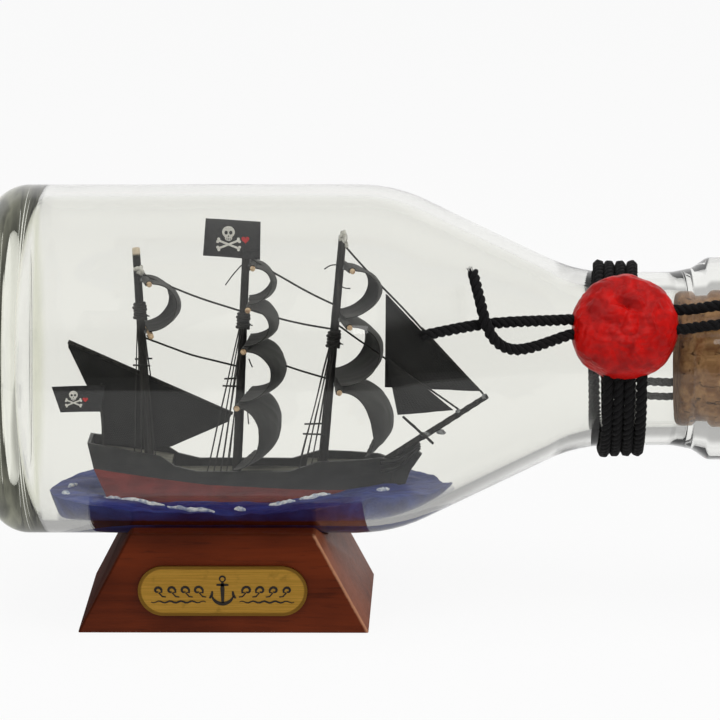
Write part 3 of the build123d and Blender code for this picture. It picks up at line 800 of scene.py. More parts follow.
def make_seal():
    """A blob of wax pressed over the knot: a flattened ball, folded and dented by hand."""
    piece = primitive("ico_sphere", "wax_seal_blob", subdivisions=7, radius=SEAL_RADIUS)

    def flatten(p):
        share = min(1.0, hypot(p.x, p.y) / SEAL_RADIUS)
        thick = SEAL_RADIUS * 0.62 * (1 - share ** 2.8) ** (1 / 2.8)
        return Vector((p.x, p.y, thick if p.z > 0 else -thick))

    sculpt(piece, flatten)

    def press(p):
        out = p.normalized()
        flat = hypot(p.x, p.y) / SEAL_RADIUS
        front = max(0.0, out.z)
        wave = lump(p, 0.0046, 1.7) + 0.6 * lump(p, 0.0021, 5.2) + 0.3 * lump(p, 0.001, 8.0)
        across = (p.y - 0.0033 + 0.45 * (p.x + 0.0005)) / 0.0013
        fold = -max(0.0, 1 - abs(across)) * exp(-((p.x - 0.0005) / 0.003) ** 2)
        ridge = max(0.0, 1 - abs(p.x - 0.0052 - 0.00012 * (p.y / 0.001) ** 2) / 0.0013)
        ridge *= exp(-((p.y + 0.0005) / 0.005) ** 2)
        facet = abs(lump(p, 0.0033, 9.4)) - 0.2
        rim = 0.0005 * lump((atan2(p.y, p.x) * 0.004, 0, 0.001), 0.0021, 4.4) * flat ** 4
        p = p + out * (0.00055 * wave * (0.4 + front) + 0.0012 * fold * front + 0.0008 * ridge * front)
        p = p + out * 0.0009 * facet * front
        spread = 1 + rim / SEAL_RADIUS + 0.03 * lump((atan2(p.y, p.x), 0.5, 0.2), 0.8, 2.0)
        bulge = 1 + 0.035 * flat ** 3 * max(0.0, -p.x / SEAL_RADIUS)
        return Vector((p.x * spread * bulge, p.y * spread, max(p.z, SEAL_BACK_Z)))

    sculpt(piece, press)
    smooth(piece)
    out_reach = NECK_RADIUS + CORD + 0.0001
    piece.matrix_world = (Matrix.Translation((SEAL_X, 0, AXIS_Z)) @ Matrix.Rotation(SEAL_TURN, 4, "X")
                          @ Matrix.Translation((0, 0, out_reach - SEAL_SUNK)))
    finish_piece(piece, wax_finish(), nodes=["wax_seal"])


make_seal()


# ---------------------------------------------------------------- bottle, cork and stand
BASE_X, FLOOR_X, MOUTH_X = -0.0517, -0.0455, 0.116
INNER_RADIUS, INNER_SHOULDER_X, INNER_NECK_X = 0.0355, 0.03590, 0.07840
OUTSIDE = [(-0.0495, 0), (BASE_X, 0.025), (BASE_X, BODY_RADIUS), (SHOULDER_CORNER_X, BODY_RADIUS),
           (NECK_CORNER_X, NECK_RADIUS), (0.097, NECK_RADIUS), (0.1012, 0.0197), (0.1045, 0.022),
           (0.1135, 0.022), (MOUTH_X, 0.020)]
INSIDE = [(MOUTH_X, BORE_RADIUS), (INNER_NECK_X, BORE_RADIUS), (INNER_SHOULDER_X, INNER_RADIUS),
          (FLOOR_X, INNER_RADIUS), (FLOOR_X, 0)]
OUTSIDE_FILLETS = [0.006, 0.009, SHOULDER_FILLET, NECK_FILLET, 0.008, 0.0024, 0.0024, 0.0020]
MOUTH_FILLETS = [0.0014, 0.0012]
INNER_SHOULDER_FILLET, INNER_HEEL_FILLET = 0.0325, 0.007
INSIDE_FILLETS = [0.032, INNER_SHOULDER_FILLET, INNER_HEEL_FILLET]


def make_bottle():
    profile = rounded(OUTSIDE + INSIDE, OUTSIDE_FILLETS + MOUTH_FILLETS + INSIDE_FILLETS, radians(4))
    piece = spun("bottle_glass", profile, 192)
    smooth(piece)
    finish_piece(piece, glass_finish(), nodes=["glass_bottle"])


make_bottle()


CORK_RADIUS, CORK_LENGTH, CORK_MIDDLE_X, CORK_END_RINGS = 0.01494, 0.0255, 0.11125, 7


def make_cork():
    piece = primitive("cylinder", "bottle_cork", vertices=96, radius=CORK_RADIUS, depth=CORK_LENGTH,
                      location=(CORK_MIDDLE_X, 0, AXIS_Z), rotation=(0, pi / 2, 0))
    edit(piece, "EDGE")
    pick(piece, lambda a, b: abs(a.x - b.x) < 1e-6, "edges")
    bpy.ops.mesh.bevel(offset=0.0012, segments=4)
    done()
    settle(piece)
    edit(piece, "FACE")
    pick(piece, lambda middle, normal: abs(normal.x) > 0.99, "faces")
    for _ in range(CORK_END_RINGS):
        bpy.ops.mesh.inset(thickness=0.0017)
    pick(piece, lambda middle, normal: abs(normal.x) < 0.3, "faces")
    bpy.ops.mesh.subdivide(number_cuts=5)
    done()

    def pitted(p):
        taper = 1 - 0.004 * (0.116 - p.x) / 0.015
        dent = min(0.0, lump(p, 0.0012, 3.0) + 0.25) * 0.0005
        out = Vector((0, p.y, p.z - AXIS_Z))
        if out.length > 1e-5:
            p = Vector((p.x, p.y * taper, AXIS_Z + (p.z - AXIS_Z) * taper)) + out.normalized() * dent
        end = 1 if p.x > 0.111 else -1
        return p - Vector((end * 0.00025 * max(0.0, lump(p, 0.002, 6.0)), 0, 0))

    sculpt(piece, pitted)
    smooth(piece, 35)
    finish_piece(piece, cork_finish(), nodes=["cork_stopper"])


make_cork()


def make_stand():
    """A block with leaning ends, its edges eased, and a round cradle cut in its top."""
    piece = primitive("cube", "cradle_stand", size=1, location=(0, 0, STAND_HEIGHT / 2),
                      scale=(STAND_LENGTH, STAND_DEPTH, STAND_HEIGHT))
    settle(piece)
    edit(piece)
    pick(piece, lambda p: p.z > 0.01)
    share = 1 - 2 * STAND_LEAN * STAND_HEIGHT / STAND_LENGTH
    bpy.ops.transform.resize(value=(share, 1, 1))
    bpy.ops.mesh.select_all(action="SELECT")
    bpy.ops.mesh.bevel(offset=0.0005, segments=3)
    done()
    cutter = primitive("cylinder", "cradle_cutter", vertices=256, radius=BODY_RADIUS + 0.0002,
                       depth=0.2, location=(0, 0, AXIS_Z), rotation=(0, pi / 2, 0))
    modify(piece, "BOOLEAN", operation="DIFFERENCE", object=cutter, solver="EXACT")
    remove(cutter)
    modify(piece, "BEVEL", width=0.00025, segments=2, limit_method="ANGLE", angle_limit=radians(40))
    smooth(piece, 40)
    finish_piece(piece, wood_finish("stained_cradle_wood", (0.050, 0.0070, 0.0010), (0.115, 0.0175, 0.0028)),
                 "stand", ["stand_block"])


make_stand()

PLATE_FACE = -(STAND_DEPTH / 2 + PLATE_THICKNESS)


def make_plate():
    piece = primitive("cylinder", "brass_plate", vertices=96, radius=PLATE_HEIGHT / 2,
                      depth=PLATE_THICKNESS, location=(0, -(STAND_DEPTH + PLATE_THICKNESS) / 2, PLATE_Z),
                      rotation=(pi / 2, 0, 0))
    settle(piece)
    run = (PLATE_LENGTH - PLATE_HEIGHT) / 2
    for side in (-1, 1):
        edit(piece)
        pick(piece, lambda p: side * p.x > (-1e-5 if side > 0 else 1e-5))
        bpy.ops.transform.translate(value=(side * run, 0, 0))
        done()
    edit(piece, "FACE")
    pick(piece, lambda middle, normal: normal.y < -0.9, "faces")
    bpy.ops.mesh.inset(thickness=0.00016)
    bpy.ops.transform.translate(value=(0, -0.00001, 0))
    bpy.ops.mesh.inset(thickness=0.00045)
    bpy.ops.mesh.inset(thickness=0.00012)
    bpy.ops.transform.translate(value=(0, 0.00008, 0))
    done()
    smooth(piece, 30)
    finish_piece(piece, brass_finish(), "stand", ["name_plate"])


make_plate()


def ribbon(name, line, width, y):
    """A flat raised stroke along a line in the plate's face, thinner at its ends."""
    points = [Vector((x, y, z)) for x, z in line]
    mesh_points, faces = [], []
    last = len(points) - 1
    for number, point in enumerate(points):
        run = (points[min(number + 1, last)] - points[max(number - 1, 0)]).normalized()
        taper = 0.35 + 0.65 * sin(pi * (number + 0.4) / (last + 0.8))
        across = Vector((-run.z, 0, run.x)) * width / 2 * taper
        mesh_points += [point - across, point + across]
        if number:
            faces.append((2 * number - 2, 2 * number - 1, 2 * number + 1, 2 * number))
    mesh = bpy.data.meshes.new(name)
    mesh.from_pydata([tuple(point) for point in mesh_points], [], faces)
    piece = bpy.data.objects.new(name, mesh)
    bpy.context.scene.collection.objects.link(piece)
    modify(piece, "SOLIDIFY", thickness=0.00006, offset=0)
    outward(piece)
    return piece


def make_plate_ornament():
    """An anchor between two runs of rolling waves, in dark print."""
    y, strokes = PLATE_FACE - 0.00001, []

    def arc(x, z, radius, start, end, steps=16):
        angles = [radians(start + (end - start) * step / steps) for step in range(steps + 1)]
        return [(x + radius * cos(a), z + radius * sin(a)) for a in angles]

    z = PLATE_Z
    strokes.append(ribbon("anchor_shank", [(0, z + 0.0020), (0, z + 0.0005), (0, z - 0.0026)], 0.0009, y))
    strokes.append(ribbon("anchor_ring", arc(0, z + 0.0027, 0.0006, -90, 270), 0.0004, y))
    stock = [(x, z + 0.0014) for x in (-0.0013, 0, 0.0013)]
    strokes.append(ribbon("anchor_stock", stock, 0.0006, y))
    strokes.append(ribbon("anchor_arms", arc(0, z - 0.0004, 0.0024, 195, 345), 0.0008, y))
    for side in (-1, 1):
        strokes.append(ribbon("anchor_fluke", [(side * 0.0028, z - 0.0016), (side * 0.0023, z - 0.0008),
                                               (side * 0.0022, z)], 0.0006, y))
        for number in range(4):
            x = side * (0.0052 + 0.0029 * number)
            size = 0.00125 * (1 - 0.06 * number)
            curl = [(x + side * px, z + pz) for px, pz in
                    ([(-0.0017, -0.0013), (-0.0009, -0.0012), (-0.0002, -0.0004)]
                     + [(0.0001 + size * t * cos(a), 0.0001 + size * t * sin(a))
                        for a, t in ((radians(200 - 30 * k), 0.92 - 0.065 * k) for k in range(12))])]
            strokes.append(ribbon("wave_curl", curl, 0.00055, y))
        line = [(side * (0.0036 + 0.0118 * k / 24), z - 0.0024 + 0.0002 * sin(k * 1.3)) for k in range(25)]
        strokes.append(ribbon("wave_line", line, 0.0004, y))
    piece = join("plate_ornament", strokes)
    f = Finish("dark_plate_print", roughness=0.55)
    wear = f.specks(f.place(), 2400.0, 4.0)
    f.set(base_color=f.mix(wear.rise(0.55, 0.75), (0.012, 0.008, 0.004), (0.06, 0.035, 0.012)))
    finish_piece(piece, f.material, "stand")


make_plate_ornament()


# ---------------------------------------------------------------- sea
SEA_START, SEA_END, SEA_WIDTH = -0.039, 0.0495, 0.039
SEA_GRID, SEA_DEPTH, SEA_GRIP = 0.042, 0.012, 0.00008
STERN_X, BOW_X = -0.0303, 0.0375
DIP_DEPTH, DIP_REACH = 0.0010, 0.0016
HALF_BREADTHS = [(-0.0303, 0.0046), (-0.0200, 0.0057), (-0.0050, 0.0061), (0.0100, 0.0060), (0.0220, 0.0051),
                 (0.0300, 0.0035), (0.0360, 0.0009)]


def along(table, x):
    """The value at x on a line given by a few points."""
    if x <= table[0][0]:
        return table[0][1]
    for (x0, v0), (x1, v1) in zip(table, table[1:]):
        if x <= x1:
            return v0 + (v1 - v0) * (x - x0) / (x1 - x0)
    return table[-1][1]


def from_hull(x, y):
    """How far a place on the sea is outside the ship's side."""
    if STERN_X < x < BOW_X:
        return abs(y) - along(HALF_BREADTHS, x)
    return hypot(min(abs(x - STERN_X), abs(x - BOW_X)), max(0.0, abs(y) - 0.003))


def dip(x, y):
    """How far the sea dips beside the ship."""
    return DIP_DEPTH * exp(-max(0.0, from_hull(x, y)) / DIP_REACH)


def chop(x, y):
    """Small waves, and a dip along the ship."""
    waves = 0.00055 * lump((x, y, 0), 0.0075, 2.2) + 0.0003 * lump((x, y, 0), 0.003, 6.1)
    return waves - dip(x, y)


def wave_height(x, y):
    """The sea's height over its level: chop, a rise at the glass, and one at the near bow and stern."""
    bank = 0.0012 * max(0.0, y / 0.0195) ** 2 + 0.0004 * max(0.0, -y / 0.0195) ** 2
    near = max(0.0, min(1.0, -(y - 0.001) / 0.005))
    bow, stern = max(0.0, min(1.0, (x - 0.012) / 0.020)), max(0.0, min(1.0, -(x + 0.014) / 0.014))
    return chop(x, y) + bank + near * (0.0029 * bow + 0.0010 * stern) - 0.0002


def make_sea():
    """A slab of putty, pushed into waves, then trimmed to the inside of the glass."""
    piece = primitive("grid", "putty_sea_waves", x_subdivisions=178, y_subdivisions=84, size=1,
                      location=((SEA_START + SEA_END) / 2, 0, SEA_LEVEL),
                      scale=(SEA_END - SEA_START, SEA_GRID, 1))
    settle(piece)
    radius, middle = SEA_WIDTH / 2, (SEA_START + SEA_END) / 2
    run = (SEA_END - SEA_START) / 2 - radius

    def shape(p):
        past = max(0.0, abs(p.x - middle) - run)
        width = sqrt(max(1e-9, radius ** 2 - min(past, radius - 1e-5) ** 2))
        shore = 0.88 if p.y < 0 else 1.0
        y = p.y / (SEA_GRID / 2) * max(width, 0.002) * shore * (1 + 0.02 * lump((p.x, 0, 0), 0.008, 3.3))
        return Vector((p.x, y, SEA_LEVEL + wave_height(p.x, y)))

    sculpt(piece, shape)
    edit(piece)
    bpy.ops.mesh.select_all(action="SELECT")
    bpy.ops.mesh.extrude_region_move(TRANSFORM_OT_translate={"value": (0, 0, -SEA_DEPTH)})
    bpy.ops.transform.resize(value=(0.92, 0.8, 1))
    bpy.ops.mesh.select_all(action="SELECT")
    bpy.ops.mesh.normals_make_consistent(inside=False)
    done()
    end, out = FLOOR_X - SEA_GRIP, INNER_RADIUS + SEA_GRIP
    wall = rounded([(end, 0), (end, out), (INNER_SHOULDER_X, out), (INNER_NECK_X, BORE_RADIUS)],
                   [INNER_HEEL_FILLET, INNER_SHOULDER_FILLET])
    hollow = spun("bottle_hollow", wall + [(INNER_NECK_X, 0)], 160)
    modify(piece, "BOOLEAN", operation="INTERSECT", object=hollow, solver="EXACT")
    remove(hollow)
    crest = piece.data.attributes.new("crest", "FLOAT", "POINT")
    values = []
    for point in piece.data.vertices:
        x, y, z = point.co
        near = exp(-max(0.0, from_hull(x, y) - 0.0004) / 0.0009) * 0.35
        lift = (chop(x, y) + dip(x, y)) / 0.0009
        values.append(max(0.0, lift * 0.45 + near) if z > SEA_LEVEL - 0.003 else 0.0)
    crest.data.foreach_set("value", values)
    smooth(piece, 40)
    finish_piece(piece, putty_finish(), nodes=["putty_sea"])


make_sea()


CRESTS = [
    [(-26.9, -4.2), (-25.4, -5.4), (-23.0, -6.4)],
    [(-23.4, -7.2), (-19.5, -9.4), (-16.0, -11.2), (-13.0, -12.5)],
    [(-12.6, -12.6), (-9.0, -14.3), (-5.5, -15.5), (-1.9, -16.5)],
    [(2.1, -14.3), (4.7, -14.3)],
    [(9.6, -11.8), (12.2, -11.0), (15.3, -10.7)],
    [(16.0, -10.0), (19.0, -8.5), (22.8, -7.0)],
    [(33.0, -9.8), (35.6, -8.6)], [(38.2, 1.4), (40.6, 2.8)], [(-36.0, -5.2), (-34.2, -6.8)],
    [(-26.0, 7.6), (-21.0, 9.4), (-17.0, 9.8)], [(-12.5, 10.4), (-8.0, 10.2)], [(0.5, 10.8), (4.5, 10.2)],
    [(13.0, 10.0), (18.0, 9.2)], [(27.0, 8.2), (30.5, 7.0)], [(-35.2, 2.0), (-33.6, 5.0)],
]


def make_crests():
    """White crests drawn along the waves beside the ship: thin lumpy rolls of putty."""
    rolls = []
    for number, route in enumerate(CRESTS):
        middle = drawn_line("crest_line", [(x * MM, y * MM, 0) for x, y in route], 16)
        line = []
        for x, y, _ in middle:
            x += 0.0003 * lump((x, y, 0), 0.002, number)
            y += 0.0004 * lump((x, y, 1), 0.0016, number)
            line.append((x, y, SEA_LEVEL + wave_height(x, y) + 0.00012))

        def swell(t):
            return sin(pi * (0.03 + 0.94 * t)) ** 0.6 * (1 + 0.45 * lump((t * 7, number, 0), 1.0, 2.0))

        rolls.append(tube_mesh("crest_roll", [line], 0.00062, 14, swell))
    finish_piece(join("wave_crests", rolls), crest_finish())


make_crests()


# ---------------------------------------------------------------- ship
BLACK_PAINT = paint_finish("black_hull_paint", (0.008, 0.008, 0.009), (0.026, 0.026, 0.025), 0.36)
RED_PAINT = paint_finish("red_hull_paint", (0.13, 0.011, 0.009), (0.24, 0.026, 0.020), 0.45)
DECK_GREY = deck_finish()
SPAR_DARK = spar_finish()
YARD_WOOD = pale_wood_finish()
SAILCLOTH = cloth_finish()
THREAD = thread_finish()
GLUE_CLEAR = glue_finish("clear_dried_glue", (0.32, 0.31, 0.28), (0.62, 0.61, 0.57))
GLUE_GREY = glue_finish("grey_dried_glue", (0.10, 0.105, 0.11), (0.30, 0.31, 0.32))

for node, material in (("hull_topsides", BLACK_PAINT), ("beakhead", BLACK_PAINT), ("hull_bottom", RED_PAINT),
                       ("quarter_deck", DECK_GREY), ("main_deck", DECK_GREY), ("forecastle_deck", DECK_GREY)):
    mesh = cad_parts[node].data
    mesh.materials.clear()
    mesh.materials.append(material)


def ship(x, y, z):
    """A place on the ship, given in millimetres above the sea."""
    return Vector((x * MM, y * MM, SEA_LEVEL + z * MM))


MASTS = {
    "mizzen": ((-17.0, 5.4), (-19.3, 54.3)),
    "main": ((1.95, 2.0), (4.55, 52.6)),
    "fore": ((20.65, 4.0), (25.6, 57.0)),
}
YARDS = {
    "mizzen": [(47.3, 6.0, 12.0), (35.9, 6.0, 8.0)],
    "main": [(50.6, 5.4, 2.0), (41.8, 6.8, -4.0), (32.9, 8.0, -8.0), (20.6, 9.2, -13.0)],
    "fore": [(50.0, 5.4, 14.0), (38.5, 9.4, 11.0), (24.2, 9.6, 4.0)],
}
SPAR, FOOT, HEAD = 0.6, 0.95, 0.7


def mast_x(mast, z):
    (foot_x, foot_z), (head_x, head_z) = MASTS[mast]
    return foot_x + (head_x - foot_x) * (z - foot_z) / (head_z - foot_z)


def mast_radius(mast, z):
    foot_z, head_z = MASTS[mast][0][1], MASTS[mast][1][1]
    return FOOT + (HEAD - FOOT) * (z - foot_z) / (head_z - foot_z)


def yard_x(mast, z):
    return mast_x(mast, z) + mast_radius(mast, z) + SPAR + 0.3


def spar(name, start, end, radius, end_radius=None, sides=20, rough=0.05):
    """A hand-cut round spar: a cone set between two points, its ends eased and its length uneven."""
    start, end = Vector(start), Vector(end)
    run = end - start
    turn = Vector((0, 0, 1)).rotation_difference(run).to_euler()
    piece = primitive("cone", name, vertices=sides, radius1=radius, radius2=end_radius or radius,
                      depth=run.length, location=(start + end) / 2, rotation=turn)
    edit(piece, "EDGE")
    way = run.normalized()
    pick(piece, lambda a, b: abs((a - b).dot(way)) < 1e-6, "edges")
    bpy.ops.mesh.bevel(offset=radius * 0.22, segments=2)
    pick(piece, lambda a, b: abs((a - b).dot(way)) > run.length * 0.5, "edges")
    bpy.ops.mesh.subdivide(number_cuts=max(4, int(run.length / 0.0012)))
    done()
    settle(piece)

    def uneven(p):
        nearest = start + way * (p - start).dot(way)
        out = p - nearest
        return nearest + out * (1 + rough * lump(p, 0.0011, radius * 9000))

    sculpt(piece, uneven)
    smooth(piece, 45)
    return piece


def make_masts():
    for mast, ((foot_x, foot_z), (head_x, head_z)) in MASTS.items():
        piece = spar(f"{mast}_mast_spar", ship(foot_x, 0, foot_z), ship(head_x, 0, head_z),
                     1.05 * MM, 0.86 * MM)
        finish_piece(piece, SPAR_DARK, nodes=[f"{mast}_mast"])
        yards = []
        for z, half, brace in YARDS[mast]:
            way = Vector((-sin(radians(brace)), cos(radians(brace)), 0)) * half
            middle = Vector((yard_x(mast, z), 0, z))
            start, end = ship(*(middle - way)), ship(*(middle + way))
            yards.append(spar("yard", start, end, SPAR * MM, rough=0.12, sides=16))
        finish_piece(join(f"{mast}_yard_sticks", yards), YARD_WOOD, nodes=[f"{mast}_yards"])


make_masts()


def make_bow():
    """The stem where the hull meets the beak, and the curved head rails on both sides of it."""
    stem = spar("bow_stem", ship(35.2, 0, -2.0), ship(36.9, 0, 7.8), 1.0 * MM, 0.9 * MM, rough=0.02)
    rails = []
    for side in (-1, 1):
        for height in (0.0, -2.1):
            rails.append([ship(33.6, side * 2.5, 6.9 + height), ship(36.2, side * 1.7, 6.9 + height * 0.9),
                          ship(39.0, side * 1.1, 8.0 + height * 0.7),
                          ship(42.2, side * 0.8, 10.6 + height * 0.3)])
    lines = [drawn_line("head_rail_line", rail, 10) for rail in rails]
    piece = join("bow_stem_and_rails", [stem, tube_mesh("head_rails", lines, 0.42 * MM, 10)])
    finish_piece(piece, BLACK_PAINT)


make_bow()


# Each spar's name, its two ends, its radius at each end, its sides, and its CAD node
OTHER_SPARS = [
    ("bowsprit_spar", (31.5, 0, 4.9), (56.6, 0, 21.4), 0.78, 0.62, 20, "bowsprit"),
    ("spritsail_stick", (38.6, 6.4, 15.2), (44.8, -6.4, 12.4), 0.3, 0.3, 12, "spritsail_yard"),
    ("lateen_stick", (-34.6, 1.75, 33.2), (1.2, 1.75, 17.0), 0.48, 0.4, 14, "lateen_yard"),
    ("masthead_flag_stick", (4.55, 0, 52.6), (4.95, 0, 59.6), 0.25, 0.25, 10, "masthead_flag_staff"),
    ("stern_flag_stick", (-27.2, -0.92, 9.3), (-27.2, -0.92, 24.4), 0.25, 0.25, 10, "stern_flag_staff"),
]


def make_other_spars():
    for name, start, end, radius, end_radius, sides, node in OTHER_SPARS:
        piece = spar(name, ship(*start), ship(*end), radius * MM, end_radius * MM, sides)
        finish_piece(piece, SPAR_DARK, nodes=[node])


make_other_spars()


# ---------------------------------------------------------------- sails
def cloth_grid(name, place, across, down, thickness=CLOTH, threads=0.00042):
    """A sheet of cloth as a grid whose points come from a function of (across, down), both 0 to 1."""
    piece = primitive("grid", name, x_subdivisions=across, y_subdivisions=down, size=1, calc_uvs=True)
    corners = {}
    for point in piece.data.vertices:
        corners[point.index] = (point.co.x + 0.5, point.co.y + 0.5)
    for point in piece.data.vertices:
        point.co = place(*corners[point.index])
    middle = [place(0.5, k / 20) for k in range(21)]
    side = [place(k / 20, 0.5) for k in range(21)]
    tall = sum((b - a).length for a, b in zip(middle, middle[1:]))
    wide = sum((b - a).length for a, b in zip(side, side[1:]))
    layer = piece.data.uv_layers["UVMap"]
    for loop in layer.data:
        loop.uv = (loop.uv[0] * wide / threads, loop.uv[1] * tall / threads)
    piece.data.update()
    modify(piece, "SOLIDIFY", thickness=thickness, offset=0)
    smooth(piece, 50)
    return piece, wide, tall


# Each square sail's mast, its yard's number, half its width, its foot's height, how far forward its
# foot is of the mast, and how deep it bellies
SQUARE_SAILS = {
    "mizzen_topsail": ("mizzen", 0, 5.6, 37.0, 0.3, 7.2),
    "main_royal": ("main", 0, 5.0, 42.8, 0.3, 5.2),
    "main_topgallant": ("main", 1, 6.4, 33.9, 0.3, 6.0),
    "main_topsail": ("main", 2, 7.6, 21.8, 0.3, 7.9),
    "main_course": ("main", 3, 8.8, 6.8, 0.4, 6.6),
    "fore_topgallant": ("fore", 0, 5.0, 39.8, 0.3, 7.8),
    "fore_topsail": ("fore", 1, 9.0, 25.6, 0.3, 9.0),
    "fore_course": ("fore", 2, 9.2, 9.8, 7.6, 7.4),
}
SAIL_CLOTH = 0.00022


def make_square_sail(node, mast, number, half, foot_z, ahead, belly):
    """A square sail rolled over its yard and bellied forward, its foot drawn back to the mast."""
    z, _, brace = YARDS[mast][number]
    turn = Matrix.Rotation(radians(brace), 3, "Z")
    centre = Vector((yard_x(mast, z), 0, z))
    wrap = SPAR + 0.12
    foot_x = mast_x(mast, foot_z) + mast_radius(mast, foot_z) + ahead - centre.x
    seed = len(node) + number

    def place(u, v):
        y = half * (2 * u - 1)
        depth = belly * (1 - 0.22 * (2 * u - 1) ** 2 + (0.25 * (2 * u - 1) if node == "fore_course" else 0))
        if v < 0.14:
            angle = radians(215 - 215 * v / 0.14)
            local = Vector((wrap * cos(angle), 0, wrap * sin(angle)))
        else:
            t = (v - 0.14) / 0.86
            slack = -0.4 * sin(pi * t) * (1 - (2 * u - 1) ** 2)
            fall = (z - foot_z) * (1 - cos(pi * t)) / 2
            foot = foot_x + (3.0 * u if node == "fore_course" else 0)
            local = Vector((wrap * (1 - t) + depth * sin(pi * t) + foot * t, 0, slack - fall))
        crease = 0.16 * lump((y, local.z, 0), 2.6, seed) + 0.07 * lump((y, local.z, 3), 1.1, seed)
        local = local + Vector((crease * min(1.0, v * 5), y, 0.12 * lump((y, 4, 0), 2.2, seed) * v))
        return ship(*(centre + turn @ local))

    piece, wide, tall = cloth_grid(f"{node}_cloth", place, 30, 60, SAIL_CLOTH)
    finish_piece(piece, SAILCLOTH, nodes=[node])


for node, values in SQUARE_SAILS.items():
    make_square_sail(node, *values)


def make_flat_sail(name, node, corners, y, bulge):
    """A fore-and-aft sail between four corners (x, z), swelling a little to one side."""
    head, tack, clew, peak = [Vector((x, 0, z)) for x, z in corners]

    def place(u, v):
        top, low = head.lerp(peak, u), tack.lerp(clew, u)
        spot = top.lerp(low, v)
        swell = bulge * sin(pi * u) * sin(pi * min(1.0, v * 0.9 + 0.05))
        ripple = 0.10 * lump((spot.x, spot.z, 0), 4.0, y) + 0.04 * lump((spot.x, spot.z, 2), 1.6, y)
        return ship(spot.x, y + swell + ripple, spot.z)

    piece, _, _ = cloth_grid(name, place, 48, 48, SAIL_CLOTH)
    area = sum(face.area for face in piece.data.polygons) / 2
    finish_piece(piece, SAILCLOTH, nodes=[node])


def make_lateen():
    """The lateen, laced under its yard, with its own outline from peak to clew."""
    under = [(-34.6, 31.9), (-31.0, 24.0), (-27.9, 17.9), (-27.4, 10.4), (-12.6, 9.4), (0.2, 15.2)]
    start, end = Vector((-34.6, 33.2)), Vector((1.0, 17.1))
    runs = [0.0]
    for a, b in zip(under, under[1:]):
        runs.append(runs[-1] + hypot(b[0] - a[0], b[1] - a[1]))

    def low_edge(u):
        place_along = u * runs[-1]
        for number, (a, b) in enumerate(zip(under, under[1:])):
            if place_along <= runs[number + 1] + 1e-9:
                share = (place_along - runs[number]) / (runs[number + 1] - runs[number])
                return Vector(a).lerp(Vector(b), share)
        return Vector(under[-1])

    def place(u, v):
        spot = start.lerp(end, u).lerp(low_edge(u), v)
        swell = 0.5 * sin(pi * u) * sin(pi * min(1.0, v))
        ripple = 0.16 * lump((spot.x, spot.y, 0), 5.0, 3.0) + 0.05 * lump((spot.x, spot.y, 2), 1.8, 1.0)
        return ship(spot.x, 1.75 + swell + ripple, spot.y)

    piece, _, _ = cloth_grid("lateen_cloth", place, 72, 36, SAIL_CLOTH)
    area = sum(face.area for face in piece.data.polygons) / 2
    finish_piece(piece, SAILCLOTH, nodes=["lateen_sail"])


make_lateen()
make_flat_sail("outer_jib_cloth", "outer_jib", [(34.9, 44.0), (34.6, 23.2), (55.2, 22.2), (35.3, 43.6)],
               0.75, 0.5)
make_flat_sail("inner_jib_cloth", "inner_jib", [(34.9, 30.5), (37.4, 17.4), (49.2, 18.4), (35.3, 30.2)],
               -0.75, -0.4)


# ---------------------------------------------------------------- rigging
def thread_line(start, end, sag=0.0, kinks=3, seed=0.0, steps=14):
    """A thread between two places on the ship, not quite straight."""
    start, end = Vector(start), Vector(end)
    size = (end - start).length
    points = []
    for step in range(steps + 1):
        t = step / steps
        spot = start.lerp(end, t)
        loose = sin(pi * t)
        spot.z -= sag * loose
        stray = Vector([lump((t * kinks, seed, axis), 0.8, seed + axis) for axis in range(3)])
        spot += stray * 0.008 * size * loose
        points.append(tuple(ship(*spot)))
    return points


STAYS = {
    "mizzen_stays": [("mizzen", 48.6, "main", 40.4), ("mizzen", 34.4, "main", 28.1)],
    "main_stays": [("main", 52.2, "fore", 41.9), ("main", 40.9, "fore", 36.4), ("main", 32.0, "fore", 25.4)],
    "head_stays": [("fore", 54.6, (55.6, 21.9)), ("fore", 37.2, (50.4, 18.3))],
}
SHROUDS = {
    "mizzen": (40.2, (-20.0, -18.4, -16.8, -15.2), 29.0),
    "main": (38.1, (-4.4, -2.9, -1.4, 0.0), 24.5),
    "fore": (33.9, (15.6, 17.0, 18.4, 19.8), 14.0),
}
RAIL = [(-30.3, 12.0), (-20.0, 10.2), (-14.2, 9.2), (-11.1, 7.1), (-6.4, 5.9), (14.0, 5.9), (20.0, 7.9),
        (33.5, 7.9), (36.0, 7.2)]


def rail_y(x):
    return along(HALF_BREADTHS, x * MM) / MM - 0.35


def make_stays():
    for node, lines in STAYS.items():
        threads = []
        for number, line in enumerate(lines):
            start = (mast_x(line[0], line[1]) + mast_radius(line[0], line[1]), 0, line[1])
            if isinstance(line[2], str):
                end = (mast_x(line[2], line[3]) - mast_radius(line[2], line[3]), 0, line[3])
            else:
                end = (line[2][0], 0, line[2][1])
            sag = 0.0 if node == "head_stays" else 0.5
            threads.append(thread_line(start, end, sag, 3, number + len(node), 24))
        piece = tube_mesh(f"{node}_thread", threads, 0.22 * MM, 7)
        finish_piece(piece, THREAD, nodes=[node])


make_stays()


